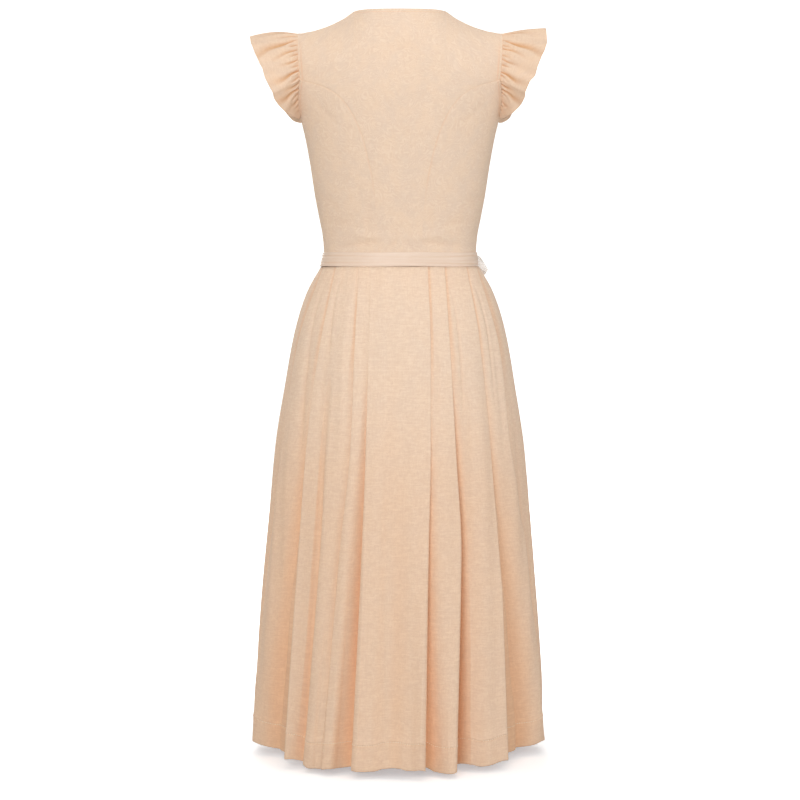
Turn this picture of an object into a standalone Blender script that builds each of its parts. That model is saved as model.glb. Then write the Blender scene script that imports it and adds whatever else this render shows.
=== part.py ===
"""A worn dirndl: fitted bodice, armhole ruffles, pleated skirt and a ribbon belt tied in a bow.

Metres, +Z up. The garment's front faces -Y, so the wearer's right hand is at -X.
The origin is on the body's centre line, between the two side-neck points, where the shoulders
carry the garment. The cloth is a hollow wall, as it hangs on its wearer.

The body's surface is one function. The bodice panels are cut from it along seam lines, so
panels that meet share the same seam points. The skirt is a ring of pleats on a flared envelope.
"""

import math
from collections import namedtuple

import bmesh
import bpy
import numpy as np

# Driving sizes
CLOTH = 0.0012            # wall of the bodice, skirt and ruffles
RIBBON = 0.0011           # wall of the belt and the bow
SEAM_GAP = 0.0003         # space between two pieces at a seam
NECK_HALF = 0.073         # side-neck point from the centre line
SHOULDER_HALF = 0.162     # shoulder tip from the centre line
NAPE_Z = -0.001           # back neckline at the centre, level with the side-neck points
SHOULDER_ROUND = 0.090    # height over which the shoulder rounds from its top to the back
UNDERARM_Z = -0.178
WAIST_Z = -0.4025         # waist seam
BELT_TOP_Z = -0.3800
BELT_BOTTOM_Z = -0.4018
HEM_Z = -1.172
SECTION_POWER = 2.3       # superellipse power of the body's level sections
LAP_PAST_CENTRE = 0.012   # how far each front runs past the centre line
LAP_FULL = 0.020          # the upper front is fully lifted as far as this from the centre line
LAP_GONE = 0.034          # and not lifted at all from here on
LAP_LIFT = 0.0018
BUST_RISE = 0.018         # how far each cup stands out from the plain section
BUST_X, BUST_Z = 0.083, -0.245
BUST_WIDTH, BUST_HEIGHT = 0.040, 0.052

# Level sections of the body, from above the shoulders to the waist seam
Section = namedtuple("Section", "z half_width back_depth front_depth")
BODY = [
    Section(0.050, 0.1800, 0.0700, 0.0710),
    Section(0.000, 0.1800, 0.0750, 0.0760),
    Section(-0.050, 0.1800, 0.0860, 0.0860),
    Section(-0.098, 0.1765, 0.0960, 0.0960),
    Section(-0.137, 0.1690, 0.1000, 0.1050),
    Section(-0.179, 0.1548, 0.0995, 0.1130),
    Section(-0.209, 0.1481, 0.0980, 0.1170),
    Section(-0.246, 0.1416, 0.0950, 0.1180),
    Section(-0.290, 0.1350, 0.0905, 0.1110),
    Section(-0.325, 0.1284, 0.0865, 0.1030),
    Section(-0.357, 0.1225, 0.0835, 0.0975),
    Section(BELT_TOP_Z, 0.1209, 0.0820, 0.0960),
    Section(WAIST_Z, 0.1230, 0.0835, 0.0975),
]
# Level sections of the skirt's outer envelope, from the waist seam to the hem. The power falls
# towards the hem, where the folds stand out furthest in the middle of the back and the front.
SkirtSection = namedtuple("SkirtSection", "z half_width back_depth front_depth power")
SKIRT = [
    SkirtSection(WAIST_Z, 0.1256, 0.0860, 0.1000, 2.30),
    SkirtSection(-0.442, 0.1479, 0.1080, 0.1190, 2.30),
    SkirtSection(-0.485, 0.1630, 0.1240, 0.1320, 2.30),
    SkirtSection(-0.528, 0.1731, 0.1360, 0.1430, 2.26),
    SkirtSection(-0.587, 0.1833, 0.1490, 0.1540, 2.20),
    SkirtSection(-0.682, 0.1983, 0.1670, 0.1690, 2.10),
    SkirtSection(-0.777, 0.2067, 0.1800, 0.1800, 2.00),
    SkirtSection(-0.940, 0.2209, 0.1960, 0.1940, 1.86),
    SkirtSection(HEM_Z, 0.2367, 0.2120, 0.2080, 1.74),
]

# The top of the shoulder, above the side-neck points
Ridge = namedtuple("Ridge", "x z")
RIDGE = [
    Ridge(0.000, 0.0320), Ridge(0.030, 0.0270), Ridge(0.050, 0.0180), Ridge(0.073, 0.0000),
    Ridge(0.090, -0.0115), Ridge(0.118, -0.0245), Ridge(0.140, -0.0310), Ridge(0.162, -0.0345),
    Ridge(0.180, -0.0360),
]

# Seam and edge lines on the body, as distance from the centre line and height
Mark = namedtuple("Mark", "x z")
BACK_ARMHOLE = [
    Mark(0.1620, -0.0345), Mark(0.1614, -0.0475), Mark(0.1606, -0.0650), Mark(0.1590, -0.0875),
    Mark(0.1568, -0.1105),
]
BACK_SEAM = [
    Mark(0.1568, -0.1105), Mark(0.1410, -0.1135), Mark(0.1246, -0.1177), Mark(0.1016, -0.1318),
    Mark(0.0815, -0.1535), Mark(0.0667, -0.1798), Mark(0.0562, -0.2082), Mark(0.0480, -0.2407),
    Mark(0.0420, -0.2710), Mark(0.0372, -0.3120), Mark(0.0351, -0.3450), Mark(0.0344, BELT_TOP_Z),
    Mark(0.0339, WAIST_Z),
]
CENTRE_BACK_Z = [
    NAPE_Z, -0.016, -0.036, -0.062, -0.088, -0.105, -0.121, -0.141,
    -0.164, -0.189, -0.216, -0.246, -0.277, -0.312, -0.345, BELT_TOP_Z, WAIST_Z,
]
FRONT_ARMHOLE = [
    Mark(0.1620, -0.0345), Mark(0.1590, -0.0475), Mark(0.1555, -0.0670), Mark(0.1522, -0.0930),
    Mark(0.1500, -0.1200),
]
FRONT_SEAM = [
    Mark(0.1500, -0.1200), Mark(0.1400, -0.1440), Mark(0.1260, -0.1690), Mark(0.1110, -0.1940),
    Mark(0.0975, -0.2190), Mark(0.0880, -0.2450), Mark(0.0795, -0.2750), Mark(0.0695, -0.3090),
    Mark(0.0600, -0.3450), Mark(0.0535, BELT_TOP_Z), Mark(0.0510, WAIST_Z),
]
FRONT_EDGE = [
    Mark(NECK_HALF, 0.0000), Mark(0.0757, -0.0300), Mark(0.0757, -0.0600), Mark(0.0725, -0.0900),
    Mark(0.0640, -0.1210), Mark(0.0490, -0.1480), Mark(0.0290, -0.1660), Mark(0.0100, -0.1738),
]
FRONT_EDGE += [
    Mark(-LAP_PAST_CENTRE, z)
    for z in (-0.1750, -0.2130, -0.2510, -0.2890, -0.3330, BELT_TOP_Z, WAIST_Z)
]
# Columns of a front behind its edge: distance from the edge, and the most of the width it may be
Column = namedtuple("Column", "distance most")
LAP_COLUMNS = [
    Column(0.0, 0.0), Column(0.012, 0.22), Column(0.024, 0.42), Column(0.032, 0.56),
    Column(0.046, 0.78),
]
TOP_ROWS = 7              # rows over which a panel takes up the curve of its top edge
BUTTON_COLUMN = 1         # the one that runs down the centre line
POINT_CUT = 0.12          # share of its first row that a side panel's sharp top point loses

# Pleats of the skirt. The angles are those of the pleat's outer edge from its own centre
# line, back or front, at five heights. lap: how far it folds under at the waist. release: where
# it starts to open. valley and depth: where the fold's bottom lies past the edge and below the
# envelope at the hem. A lap of 0 is a soft fold that starts flat.
Pleat = namedtuple("Pleat", "waist hip mid low hem lap release valley depth")
PLEAT_Z = (WAIST_Z, -0.528, -0.682, -0.842, HEM_Z)
BACK_RIGHT = [
    Pleat(20.0, 15.8, 13.7, 11.8, 9.1, 0.016, -0.640, 0.008, 0.046),
    Pleat(33.5, 26.5, 25.9, 26.9, 22.1, 0.014, -0.560, 0.016, 0.066),
    Pleat(56.0, 46.7, 46.6, 47.8, 47.2, 0.015, -0.620, 0.080, 0.046),
    Pleat(74.0, 64.0, 61.0, 71.0, 88.0, 0.010, -0.560, 0.011, 0.007),
]
BACK_LEFT = [
    Pleat(21.0, 16.3, 15.4, 16.1, 18.3, 0.015, -0.620, 0.014, 0.050),
    Pleat(31.5, 24.0, 22.5, 25.2, 29.4, 0.010, -0.520, 0.010, 0.008),
    Pleat(42.0, 36.5, 36.0, 35.8, 38.9, 0.000, -0.560, 0.012, 0.032),
    Pleat(53.0, 46.2, 47.2, 48.2, 52.0, 0.012, -0.620, 0.078, 0.042),
    Pleat(75.0, 69.0, 68.0, 75.0, 87.0, 0.010, -0.560, 0.011, 0.007),
]
FRONT_RIGHT = [
    Pleat(21.0, 16.5, 15.2, 14.4, 13.6, 0.016, -0.600, 0.010, 0.046),
    Pleat(37.0, 30.5, 29.0, 28.6, 27.6, 0.014, -0.560, 0.016, 0.058),
    Pleat(55.0, 47.5, 46.5, 46.8, 46.0, 0.014, -0.600, 0.020, 0.050),
    Pleat(73.5, 67.0, 65.5, 64.5, 62.0, 0.012, -0.560, 0.016, 0.048),
]
FRONT_LEFT = [
    Pleat(20.0, 15.8, 15.0, 15.2, 16.2, 0.016, -0.620, 0.010, 0.044),
    Pleat(35.5, 29.6, 29.2, 30.0, 31.5, 0.014, -0.580, 0.018, 0.060),
    Pleat(54.5, 48.5, 48.0, 49.0, 49.5, 0.014, -0.560, 0.018, 0.046),
    Pleat(73.0, 66.5, 65.0, 64.5, 63.0, 0.012, -0.580, 0.014, 0.046),
]
SIDE_SEAM_DEG = (90.0, 91.0, 92.5, 95.0, 100.5)   # from the centre back, at PLEAT_Z
RIGHT_SIDE_AFTER = 3      # the pleat before each side seam, counted round from the centre back
LEFT_SIDE_AFTER = 11
CENTRE_AFTER = (7, 16)    # the pleats before the plain centre front and centre back
PLEAT_POINTS = 5          # points across each pleat, and between pleats:
FACE_POINTS, SIDE_POINTS, CENTRE_POINTS = 2, 3, 4
LAYER_STEP = 0.0024       # from one layer of a closed pleat to the next, middle to middle
UNDER_END = 0.003         # where a closed pleat's lowest layer comes out past the edge
SOFT_REACH = 0.008        # half the width of a pleat that starts as a soft fold
FOLD_BEFORE = 0.007       # an open fold starts to turn this far before its edge,
FOLD_PAST = 0.002         # goes over the edge here,
FOLD_DIP = 0.16           # down by this share of its depth,
VALLEY_HALF = 0.0045      # has a bottom of this half width,
FOLD_RISE = 0.016         # and is part of the way up again this far past the valley
FOLD_RISE_LEFT = 0.42     # with this share of its depth left
FLARE = 0.40              # height below the waist over which the faces between pleats turn round
CENTRE_HOLLOW = 0.016     # how far the plain centre back and front sink at the hem
FACE_POWER_TOP = 6.0      # how late a face between pleats comes up to the next edge, at the waist
FACE_POWER_LOW = 2.0      # and below the flare
SEAM_RISE_LEFT = 0.2      # share of a pleat's depth left half way to the side seam
MITRE_MOST = 1.5          # most that a wall's offset is lengthened at a sharp corner
OPENING_POWER = 0.8       # pleats deepen a little ahead of their widening
SKIRT_ROWS_Z = (
    WAIST_Z - SEAM_GAP / 2, -0.413, -0.427, -0.446, -0.470, -0.502, -0.542, -0.590, -0.646,
    -0.712, -0.788, -0.870, -0.962, -1.064, HEM_Z,
)

# Armhole ruffle. along: 0 at the shoulder tip, 1 at the lower end. drop: how far its rays
# point below level. sweep: how far they turn to the back or the front.
Ray = namedtuple("Ray", "along width drop sweep")
RUFFLE = [
    Ray(0.00, 0.0735, 0.0, 0.0),
    Ray(0.15, 0.0735, 4.0, 10.0),
    Ray(0.32, 0.0660, 11.0, 20.0),
    Ray(0.50, 0.0560, 20.0, 27.0),
    Ray(0.68, 0.0440, 30.0, 30.0),
    Ray(0.84, 0.0280, 38.0, 30.0),
    Ray(1.00, 0.0060, 44.0, 28.0),
]
RUFFLE_END = 0.87         # share of each armhole half that the ruffle covers
RUFFLE_WAVES = 10         # gathers on each half of a ruffle
RUFFLE_SWING = 0.0058     # height of a gather at the free edge, from its middle
RUFFLE_FULL_WIDTH = 0.045  # a narrower ruffle has lower gathers
RUFFLE_START = 0.0009     # the seam edge stands this far from the armhole's edge
RUFFLE_STAND = 0.0014     # and this much further out at its lower end, to clear the panel below
RUFFLE_ROWS = (0.0, 0.22, 0.58, 1.0)
RUFFLE_OPENING = 0.8      # power with which a gather's height grows from the seam

BELT_COLUMNS = 96
BELT_CLEAR = 0.0005
LAP_SIDE_CLEAR = 0.003    # the belt comes down from the lap's edge after this,
LAP_SIDE_FALL = 0.012     # over this length
KNOT_DEG = 58.0           # place of the knot on the belt, from the centre front to the right
KNOT_SIZE = (0.018, 0.011, 0.024)
LOOP_LENGTH = 0.056
LOOP_FULLNESS = 0.013
LOOP_HEIGHT = 0.025
LOOP_CLEAR = 0.0030       # its lower layer from the belt,
LOOP_SPREAD = 0.0040      # and its upper layer from the lower one, at the knot
LOOP_POWER = 0.8          # how bluntly the ribbon turns at the loop's end
LOOP_SIDE = 0.2           # share of the fullness already there where the loop starts
LOOP_SPREAD_BY = 1.4      # full ribbon width is reached at 1 / this of the loop's length
LOOP_DROOP_POWER = 1.5
TAIL_SPREAD_BY = 6.0      # and at 1 / this of an end's length
TAIL_WIDTH = 0.025
GATHERED = 0.46           # share of the ribbon's width that shows where the knot gathers it
TAIL_LENGTHS = (0.225, 0.265)
TAIL_LEAN = (0.026, -0.022)   # how far each end swings along the skirt, over its length
TAIL_OUT = (0.0026, 0.0046)   # from the skirt's envelope; the second lies over the first
TAIL_SLANT = 0.010        # of its cut end, to each side
TAIL_START = 0.06         # share of its swing that an end has at the knot
BUTTON_RADIUS = 0.0056
BUTTON_RISE = 0.0034
BUTTON_CLEAR = 0.0006      # its flat back from the cloth, which curves under it
BUTTON_TOP_Z, BUTTON_BOTTOM_Z, BUTTON_COUNT = -0.189, -0.368, 7

PEACH = (0.89, 0.70, 0.53)
IVORY = (0.84, 0.70, 0.60)


def clear_scene():
    """Remove what the scene holds."""
    for thing in list(bpy.data.objects):
        bpy.data.objects.remove(thing, do_unlink=True)


def smooth_through(knots, values):
    """A function that runs smoothly through the knots and never overshoots them."""
    x = np.asarray(knots, float)
    y = np.asarray(values, float)
    if x[0] > x[-1]:
        x, y = x[::-1], y[::-1]
    step = np.diff(x)
    slope = np.diff(y) / step
    grade = np.zeros_like(y)
    same = slope[:-1] * slope[1:] > 0
    before, after = 2 * step[1:] + step[:-1], step[1:] + 2 * step[:-1]
    safe = np.where(same, slope[:-1] * slope[1:], 1.0)
    inner = (before + after) * safe / np.where(same, before * slope[1:] + after * slope[:-1], 1.0)
    grade[1:-1] = np.where(same, inner, 0.0)
    grade[0], grade[-1] = slope[0], slope[-1]

    def curve(at):
        at = np.clip(np.asarray(at, float), x[0], x[-1])
        i = np.clip(np.searchsorted(x, at) - 1, 0, len(step) - 1)
        t = (at - x[i]) / step[i]
        start = (1 + 2 * t) * (1 - t) ** 2 * y[i] + t * (1 - t) ** 2 * step[i] * grade[i]
        end = t * t * (3 - 2 * t) * y[i + 1] - t * t * (1 - t) * step[i] * grade[i + 1]
        return start + end

    return curve


def columns(rows, *names):
    """Smooth functions of the first named column, one for each other name."""
    first = [getattr(r, names[0]) for r in rows]
    return [smooth_through(first, [getattr(r, n) for r in rows]) for n in names[1:]]


body_width, body_back, body_front = columns(BODY, "z", "half_width", "back_depth", "front_depth")
ridge_height, = columns(RIDGE, "x", "z")
skirt_sizes = columns(SKIRT, "z", "half_width", "back_depth", "front_depth", "power")


def soft_step(t):
    """0 below 0, 1 above 1, and smooth between."""
    t = np.clip(t, 0.0, 1.0)
    return t * t * (3 - 2 * t)


def rounding(run):
    """Drop below the shoulder's top and share of full depth, at a run along the cloth from it."""
    run = np.asarray(run, float)
    quarter = SHOULDER_ROUND * math.pi / 2
    turn = np.clip(run / SHOULDER_ROUND, -math.pi / 2, math.pi / 2)
    beyond = np.maximum(np.abs(run) - quarter, 0.0)
    return SHOULDER_ROUND * (1 - np.cos(turn)) + beyond, np.sin(turn)


def run_of(x, z):
    """The run along the cloth from the shoulder's top that reaches height z."""
    drop = np.maximum(ridge_height(np.abs(x)) - z, 0.0)
    curved = SHOULDER_ROUND * np.arccos(np.clip(1 - drop / SHOULDER_ROUND, -1.0, 1.0))
    straight = drop - SHOULDER_ROUND + SHOULDER_ROUND * math.pi / 2
    return np.where(drop < SHOULDER_ROUND, curved, straight)


def cup(x, z):
    """How far the cups stand out at a place on the front."""
    across = (np.abs(x) - BUST_X) / BUST_WIDTH
    up = (z - BUST_Z) / BUST_HEIGHT
    return BUST_RISE * np.exp(-across ** 2 - up ** 2)


def body_at(x, run, side):
    """Points of the body at x and a run from the shoulder's top; side is 1 behind, -1 in front."""
    drop, share = rounding(run)
    z = ridge_height(np.abs(x)) - drop
    fraction = np.clip(np.abs(x) / body_width(z), 0.0, 1.0)
    bend = (1 - fraction ** SECTION_POWER) ** (1 / SECTION_POWER)
    depth = body_back(z) if side > 0 else body_front(z) + cup(x, z)
    return np.stack([x, side * depth * bend * share, z], axis=-1)


def body_round(angle, z, side):
    """Points of the body at an angle from its centre line, for the panels that turn the side."""
    bend = np.cos(angle) ** (2 / SECTION_POWER)
    x = body_width(z) * np.sin(angle) ** (2 / SECTION_POWER)
    drop = np.clip((ridge_height(x) - z) / SHOULDER_ROUND, 0.0, 1.0)
    share = np.sqrt(1 - (1 - drop) ** 2)
    depth = body_back(z) if side > 0 else body_front(z) + cup(x, z)
    return np.stack([x, side * depth * bend * share, z], axis=-1)


def angle_of(x, z):
    """The angle at which body_round reaches x."""
    share = np.clip(x / body_width(z), 0.0, 1.0) ** (SECTION_POWER / 2)
    return np.arcsin(share)


def unit(v):
    return v / np.linalg.norm(v, axis=-1, keepdims=True)


def normals_of(surface, a, b, outward):
    """Unit normals of surface(a, b), from small steps of both parameters."""
    e = 1e-5
    along_a = surface(a + e, b) - surface(a - e, b)
    along_b = surface(a, b + e) - surface(a, b - e)
    n = unit(np.cross(along_a, along_b))
    return n * np.sign(np.sum(n * outward, axis=-1, keepdims=True))


def material(name, colour, roughness):
    """A plain finish in one colour."""
    made = bpy.data.materials.new(name)
    made.use_nodes = True
    shader = made.node_tree.nodes["Principled BSDF"]
    shader.inputs["Base Color"].default_value = (*colour, 1.0)
    shader.inputs["Roughness"].default_value = roughness
    shader.inputs["Metallic"].default_value = 0.0
    return made


def solid(name, points, faces, colour, roughness=0.8):
    """One closed piece from its points and faces, with its faces turned outwards."""
    mesh = bpy.data.meshes.new(name)
    mesh.from_pydata([tuple(p) for p in points], [], [tuple(int(i) for i in f) for f in faces])
    work = bmesh.new()
    work.from_mesh(mesh)
    bmesh.ops.recalc_face_normals(work, faces=work.faces)
    work.to_mesh(mesh)
    work.free()
    mesh.shade_smooth()
    mesh.set_sharp_from_angle(angle=math.radians(50))
    mesh.materials.append(material(name + "_finish", colour, roughness))
    piece = bpy.data.objects.new(name, mesh)
    bpy.context.scene.collection.objects.link(piece)
    return piece


def quads(rows, cols, start=0, closed=False):
    """Faces of a grid of rows x cols points; closed joins the last column to the first."""
    i, j = np.meshgrid(np.arange(rows - 1), np.arange(cols if closed else cols - 1), indexing="ij")
    k = (j + 1) % cols
    corners = [i * cols + j, i * cols + k, (i + 1) * cols + k, (i + 1) * cols + j]
    return start + np.stack(corners, axis=-1).reshape(-1, 4)


def rim(rows, cols, closed):
    """Indices round the edge of a grid, one list for each loop or side strip."""
    top, bottom = np.arange(cols), (rows - 1) * cols + np.arange(cols)
    if closed:
        return [np.append(top, top[0]), np.append(bottom, bottom[0])]
    left, right = np.arange(rows) * cols, np.arange(rows) * cols + cols - 1
    return [np.concatenate([top, right[1:], bottom[::-1][1:], left[::-1][1:]])]


def wall(name, middle, normal, thickness, colour, roughness=0.8, closed=False):
    """A cloth wall: a grid of points on the cloth's middle, moved out and in by half of it."""
    rows, cols = middle.shape[:2]
    count = rows * cols
    outer = (middle + normal * thickness / 2).reshape(-1, 3)
    inner = (middle - normal * thickness / 2).reshape(-1, 3)
    faces = [quads(rows, cols, 0, closed), quads(rows, cols, count, closed)[:, ::-1]]
    for loop in rim(rows, cols, closed):
        a, b = loop[:-1], loop[1:]
        faces.append(np.stack([a, b, b + count, a + count], axis=-1))
    return solid(name, np.concatenate([outer, inner]), np.concatenate(faces), colour, roughness)


def pull_in(middle, sides, by=SEAM_GAP / 2):
    """Move the named edges of a grid towards its inside, to leave half a seam gap."""
    moved = middle.copy()
    steps = {"left": (0, 1), "right": (-1, -2)}
    for side in sides:
        if side in steps:
            edge, inside = steps[side]
            moved[:, edge] += by * unit(middle[:, inside] - middle[:, edge])
        else:
            edge, inside = (0, 1) if side == "top" else (-1, -2)
            moved[edge] += by * unit(middle[inside] - middle[edge])
    return moved


def mirrored(grid):
    return grid * np.array([-1.0, 1.0, 1.0])


def centre_back():
    """The centre back panel, from the neckline and shoulder seams to the waist seam."""
    edge = BACK_ARMHOLE[:-1] + BACK_SEAM
    edge_x = np.array([m.x for m in edge])
    edge_run = run_of(edge_x, np.array([m.z for m in edge]))
    centre_run = run_of(np.zeros(len(edge)), np.array(CENTRE_BACK_Z))
    neck = np.linspace(0, NECK_HALF, 5)
    shoulder = np.linspace(NECK_HALF, SHOULDER_HALF, 5)[1:]
    top_x = np.concatenate([neck, shoulder])
    neck_z = NAPE_Z * (1 - (neck / NECK_HALF) ** 2)
    top_run = np.concatenate([run_of(neck, neck_z), np.zeros(len(shoulder))])
    top_run[len(neck) - 1] = 0.0
    share = top_x / SHOULDER_HALF
    x = edge_x[:, None] * share[None, :]
    level = centre_run[:, None] * (1 - share) + edge_run[:, None] * share
    extra = top_run - (centre_run[0] * (1 - share) + edge_run[0] * share)
    fade = np.clip(1 - np.arange(len(edge)) / TOP_ROWS, 0.0, 1.0)[:, None] ** 2
    run = level + extra[None, :] * fade
    middle = body_at(x, run, 1)
    normal = normals_of(lambda a, b: body_at(a, b, 1), x, run, np.array([0.0, 1.0, 0.4]))
    middle = pull_in(middle, ("right", "bottom"))
    shoulder_part = middle[0, len(neck) - 1:]
    shoulder_part += SEAM_GAP / 2 * np.array([0.0, 1.0, 0.0])
    full = np.concatenate([mirrored(middle)[:, :0:-1], middle], axis=1)
    full_normal = np.concatenate([mirrored(normal)[:, :0:-1], normal], axis=1)
    wall("bodice_back", full, full_normal, CLOTH, PEACH)


def lower_armhole(join):
    """The armhole from a seam's end down to the underarm, as angles and heights."""
    start = angle_of(join.x, join.z)
    t = np.linspace(0, 1, 7)
    angle = start + (math.pi / 2 - start) * t
    return angle, UNDERARM_Z + (join.z - UNDERARM_Z) * (1 - np.sin(t * math.pi / 2))


def side_edges(seam):
    """The two long edges of a side panel: its curved seam, and the armhole with the side seam."""
    seam_x = np.array([m.x for m in seam])
    seam_z = np.array([m.z for m in seam])
    arm_angle, arm_z = lower_armhole(seam[0])
    rest = len(seam) - len(arm_z)
    below_z = np.append(np.linspace(UNDERARM_Z, BELT_TOP_Z, rest)[1:], WAIST_Z)
    outer_angle = np.concatenate([arm_angle, np.full(rest, math.pi / 2)])
    return angle_of(seam_x, seam_z), seam_z, outer_angle, np.concatenate([arm_z, below_z])


def side_panel(name, seam, side, left, cols=8):
    """A side back or side front, from its curved seam round to the side seam."""
    inner_angle, inner_z, outer_angle, outer_z = side_edges(seam)
    t = np.linspace(0, 1, cols)
    angle = inner_angle[:, None] * (1 - t) + outer_angle[:, None] * t
    z = inner_z[:, None] * (1 - t) + outer_z[:, None] * t
    angle[0] += (angle[1] - angle[0]) * POINT_CUT
    z[0] += (z[1] - z[0]) * POINT_CUT
    middle = body_round(angle, z, side)
    safe = np.minimum(angle, math.pi / 2 - 1e-3)
    normal = normals_of(lambda a, b: body_round(a, b, side), safe, z, np.array([1.0, side, 0.0]))
    normal[angle > math.pi / 2 - 1e-3] *= np.array([1.0, 0.0, 1.0])
    normal = unit(normal)
    middle = pull_in(middle, ("left", "bottom"))
    below = outer_angle > math.pi / 2 - 1e-6
    middle[below, -1, 1] += side * SEAM_GAP / 2
    if left:
        wall(name, middle, normal, CLOTH, PEACH)
    else:
        wall(name, mirrored(middle)[:, ::-1], mirrored(normal)[:, ::-1], CLOTH, PEACH)


def lap_lift(from_centre):
    """How far the upper front is lifted over the lower one, at a distance on its own side."""
    return LAP_LIFT * (1 - soft_step((from_centre - LAP_FULL) / (LAP_GONE - LAP_FULL)))


def front_grid(lifted):
    """Points and normals of a front: its own side is +X, and it runs past the centre line."""
    edge = FRONT_ARMHOLE[:-1] + FRONT_SEAM
    outer_x, outer_z = np.array([(m.x, m.z) for m in edge]).T
    inner_x, inner_z = np.array([(m.x, m.z) for m in FRONT_EDGE]).T
    width = (outer_x - inner_x)[:, None]
    spread = np.linspace(0, 1, 5)[1:]
    distance = np.array([c.distance for c in LAP_COLUMNS])
    reach = np.minimum(distance / width, np.array([c.most for c in LAP_COLUMNS]))
    share = np.concatenate([reach, reach[:, -1:] + (1 - reach[:, -1:]) * spread], axis=1)
    x = inner_x[:, None] + width * share
    z = inner_z[:, None] * (1 - share) + outer_z[:, None] * share
    fade = np.clip(1 - np.arange(len(edge)) / TOP_ROWS, 0.0, 1.0)[:, None] ** 2
    run = run_of(x, z + (ridge_height(x[0]) - z[0]) * fade)
    run[0] = 0.0
    middle = body_at(x, run, -1)
    normal = normals_of(lambda a, b: body_at(a, b, -1), x, run, np.array([0.0, -1.0, 0.4]))
    if lifted:
        middle = middle + normal * lap_lift(x)[..., None]
    middle = pull_in(middle, ("right", "bottom"))
    middle[0, :, 1] -= SEAM_GAP / 2
    return middle, normal


def fronts():
    """The two fronts. The right one laps over the left at the centre line."""
    middle, normal = front_grid(lifted=False)
    wall("front_l", middle, normal, CLOTH, PEACH)
    middle, normal = front_grid(lifted=True)
    wall("front_r", mirrored(middle)[:, ::-1], mirrored(normal)[:, ::-1], CLOTH, PEACH)


def armhole_half(side):
    """Edge points of one half of the left armhole, from the shoulder tip to the underarm."""
    upper = BACK_ARMHOLE if side > 0 else FRONT_ARMHOLE
    x = np.array([m.x for m in upper])
    run = run_of(x, np.array([m.z for m in upper]))
    run[0] = 0.0
    angle, z = lower_armhole(upper[-1])
    return np.concatenate([body_at(x, run, side)[:-1], body_round(angle, z, side)])


def along_line(line, share):
    """Points at shares of a line's length, on its straight pieces."""
    length = np.concatenate([[0], np.cumsum(np.linalg.norm(np.diff(line, axis=0), axis=1))])
    at = share * length[-1]
    return np.stack([np.interp(at, length, line[:, k]) for k in range(3)], axis=-1)


def ruffle_half(side):
    """Middle points of one half of the left ruffle, as a grid with its gathers."""
    width, drop, sweep = columns(RUFFLE, "along", "width", "drop", "sweep")
    along = np.linspace(0, 1, RUFFLE_WAVES * 4 + 1)
    base = along_line(armhole_half(side), along * RUFFLE_END)
    down, turn = np.radians(drop(along)), np.radians(sweep(along)) * side
    ray = np.stack([np.cos(down) * np.cos(turn), np.cos(down) * np.sin(turn), -np.sin(down)], -1)
    q = np.array(RUFFLE_ROWS)[:, None, None]
    base = base + np.outer(along, [RUFFLE_STAND, 0.0, 0.0])
    flat = base + ray * (RUFFLE_START + q * width(along)[:, None])
    edge_way = unit(np.gradient(flat[-1], axis=0))
    across = unit(np.cross(ray, edge_way)) * side
    phase = along * RUFFLE_WAVES * 2 * math.pi
    uneven = 1 + 0.22 * np.sin(phase * 0.37 + 1.3 * side) + 0.14 * np.sin(phase * 0.23 + 2.1)
    swing = RUFFLE_SWING * np.minimum(1.0, width(along) / RUFFLE_FULL_WIDTH) * uneven * np.sin(phase)
    return flat + across * swing[:, None] * q ** RUFFLE_OPENING


def ruffles():
    """The gathered strip round each armhole, front and back in one piece."""
    behind, before = ruffle_half(1), ruffle_half(-1)
    middle = np.concatenate([before[:, :0:-1], behind], axis=1)
    along = np.gradient(middle, axis=1)
    out = np.gradient(middle, axis=0)
    normal = unit(np.cross(out, along))
    wall("ruffle_l", middle, normal, CLOTH, PEACH)
    wall("ruffle_r", mirrored(middle)[:, ::-1], mirrored(normal)[:, ::-1], CLOTH, PEACH)


def section_ring(width, back, front, power, samples=1441):
    """A closed level section from the centre back round by the wearer's right, evenly cut."""
    angle = np.linspace(0, 2 * math.pi, samples)
    across = np.sin(angle)
    depth = np.where(np.cos(angle) >= 0, back, front)
    bend = (1 - np.abs(across) ** power) ** (1 / power)
    return angle, np.stack([-width * across, depth * bend * np.sign(np.cos(angle))], axis=-1)


class Ring:
    """A level section measured along its own length, with its outward normals."""

    def __init__(self, width, back, front, power=SECTION_POWER):
        self.angle, self.points = section_ring(width, back, front, power)
        step = np.linalg.norm(np.diff(self.points, axis=0), axis=1)
        self.length = np.concatenate([[0], np.cumsum(step)])
        way = unit(np.gradient(self.points, axis=0))
        way[0] = way[-1] = np.array([-1.0, 0.0])
        self.normal = np.stack([-way[:, 1], way[:, 0]], axis=-1) * -1.0

    def place(self, degrees):
        """Length along the ring at an angle from the centre back, to the wearer's right."""
        return np.interp(math.radians(degrees) % (2 * math.pi), self.angle, self.length)

    def at(self, length, out):
        """Points at lengths along the ring, moved outwards."""
        s = np.asarray(length) % self.length[-1]
        p = np.stack([np.interp(s, self.length, self.points[:, k]) for k in range(2)], -1)
        n = np.stack([np.interp(s, self.length, self.normal[:, k]) for k in range(2)], -1)
        return p + unit(n) * np.asarray(out)[..., None]


def skirt_ring(z):
    """The skirt's outer envelope at height z."""
    return Ring(*[size(z) for size in skirt_sizes])


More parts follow.
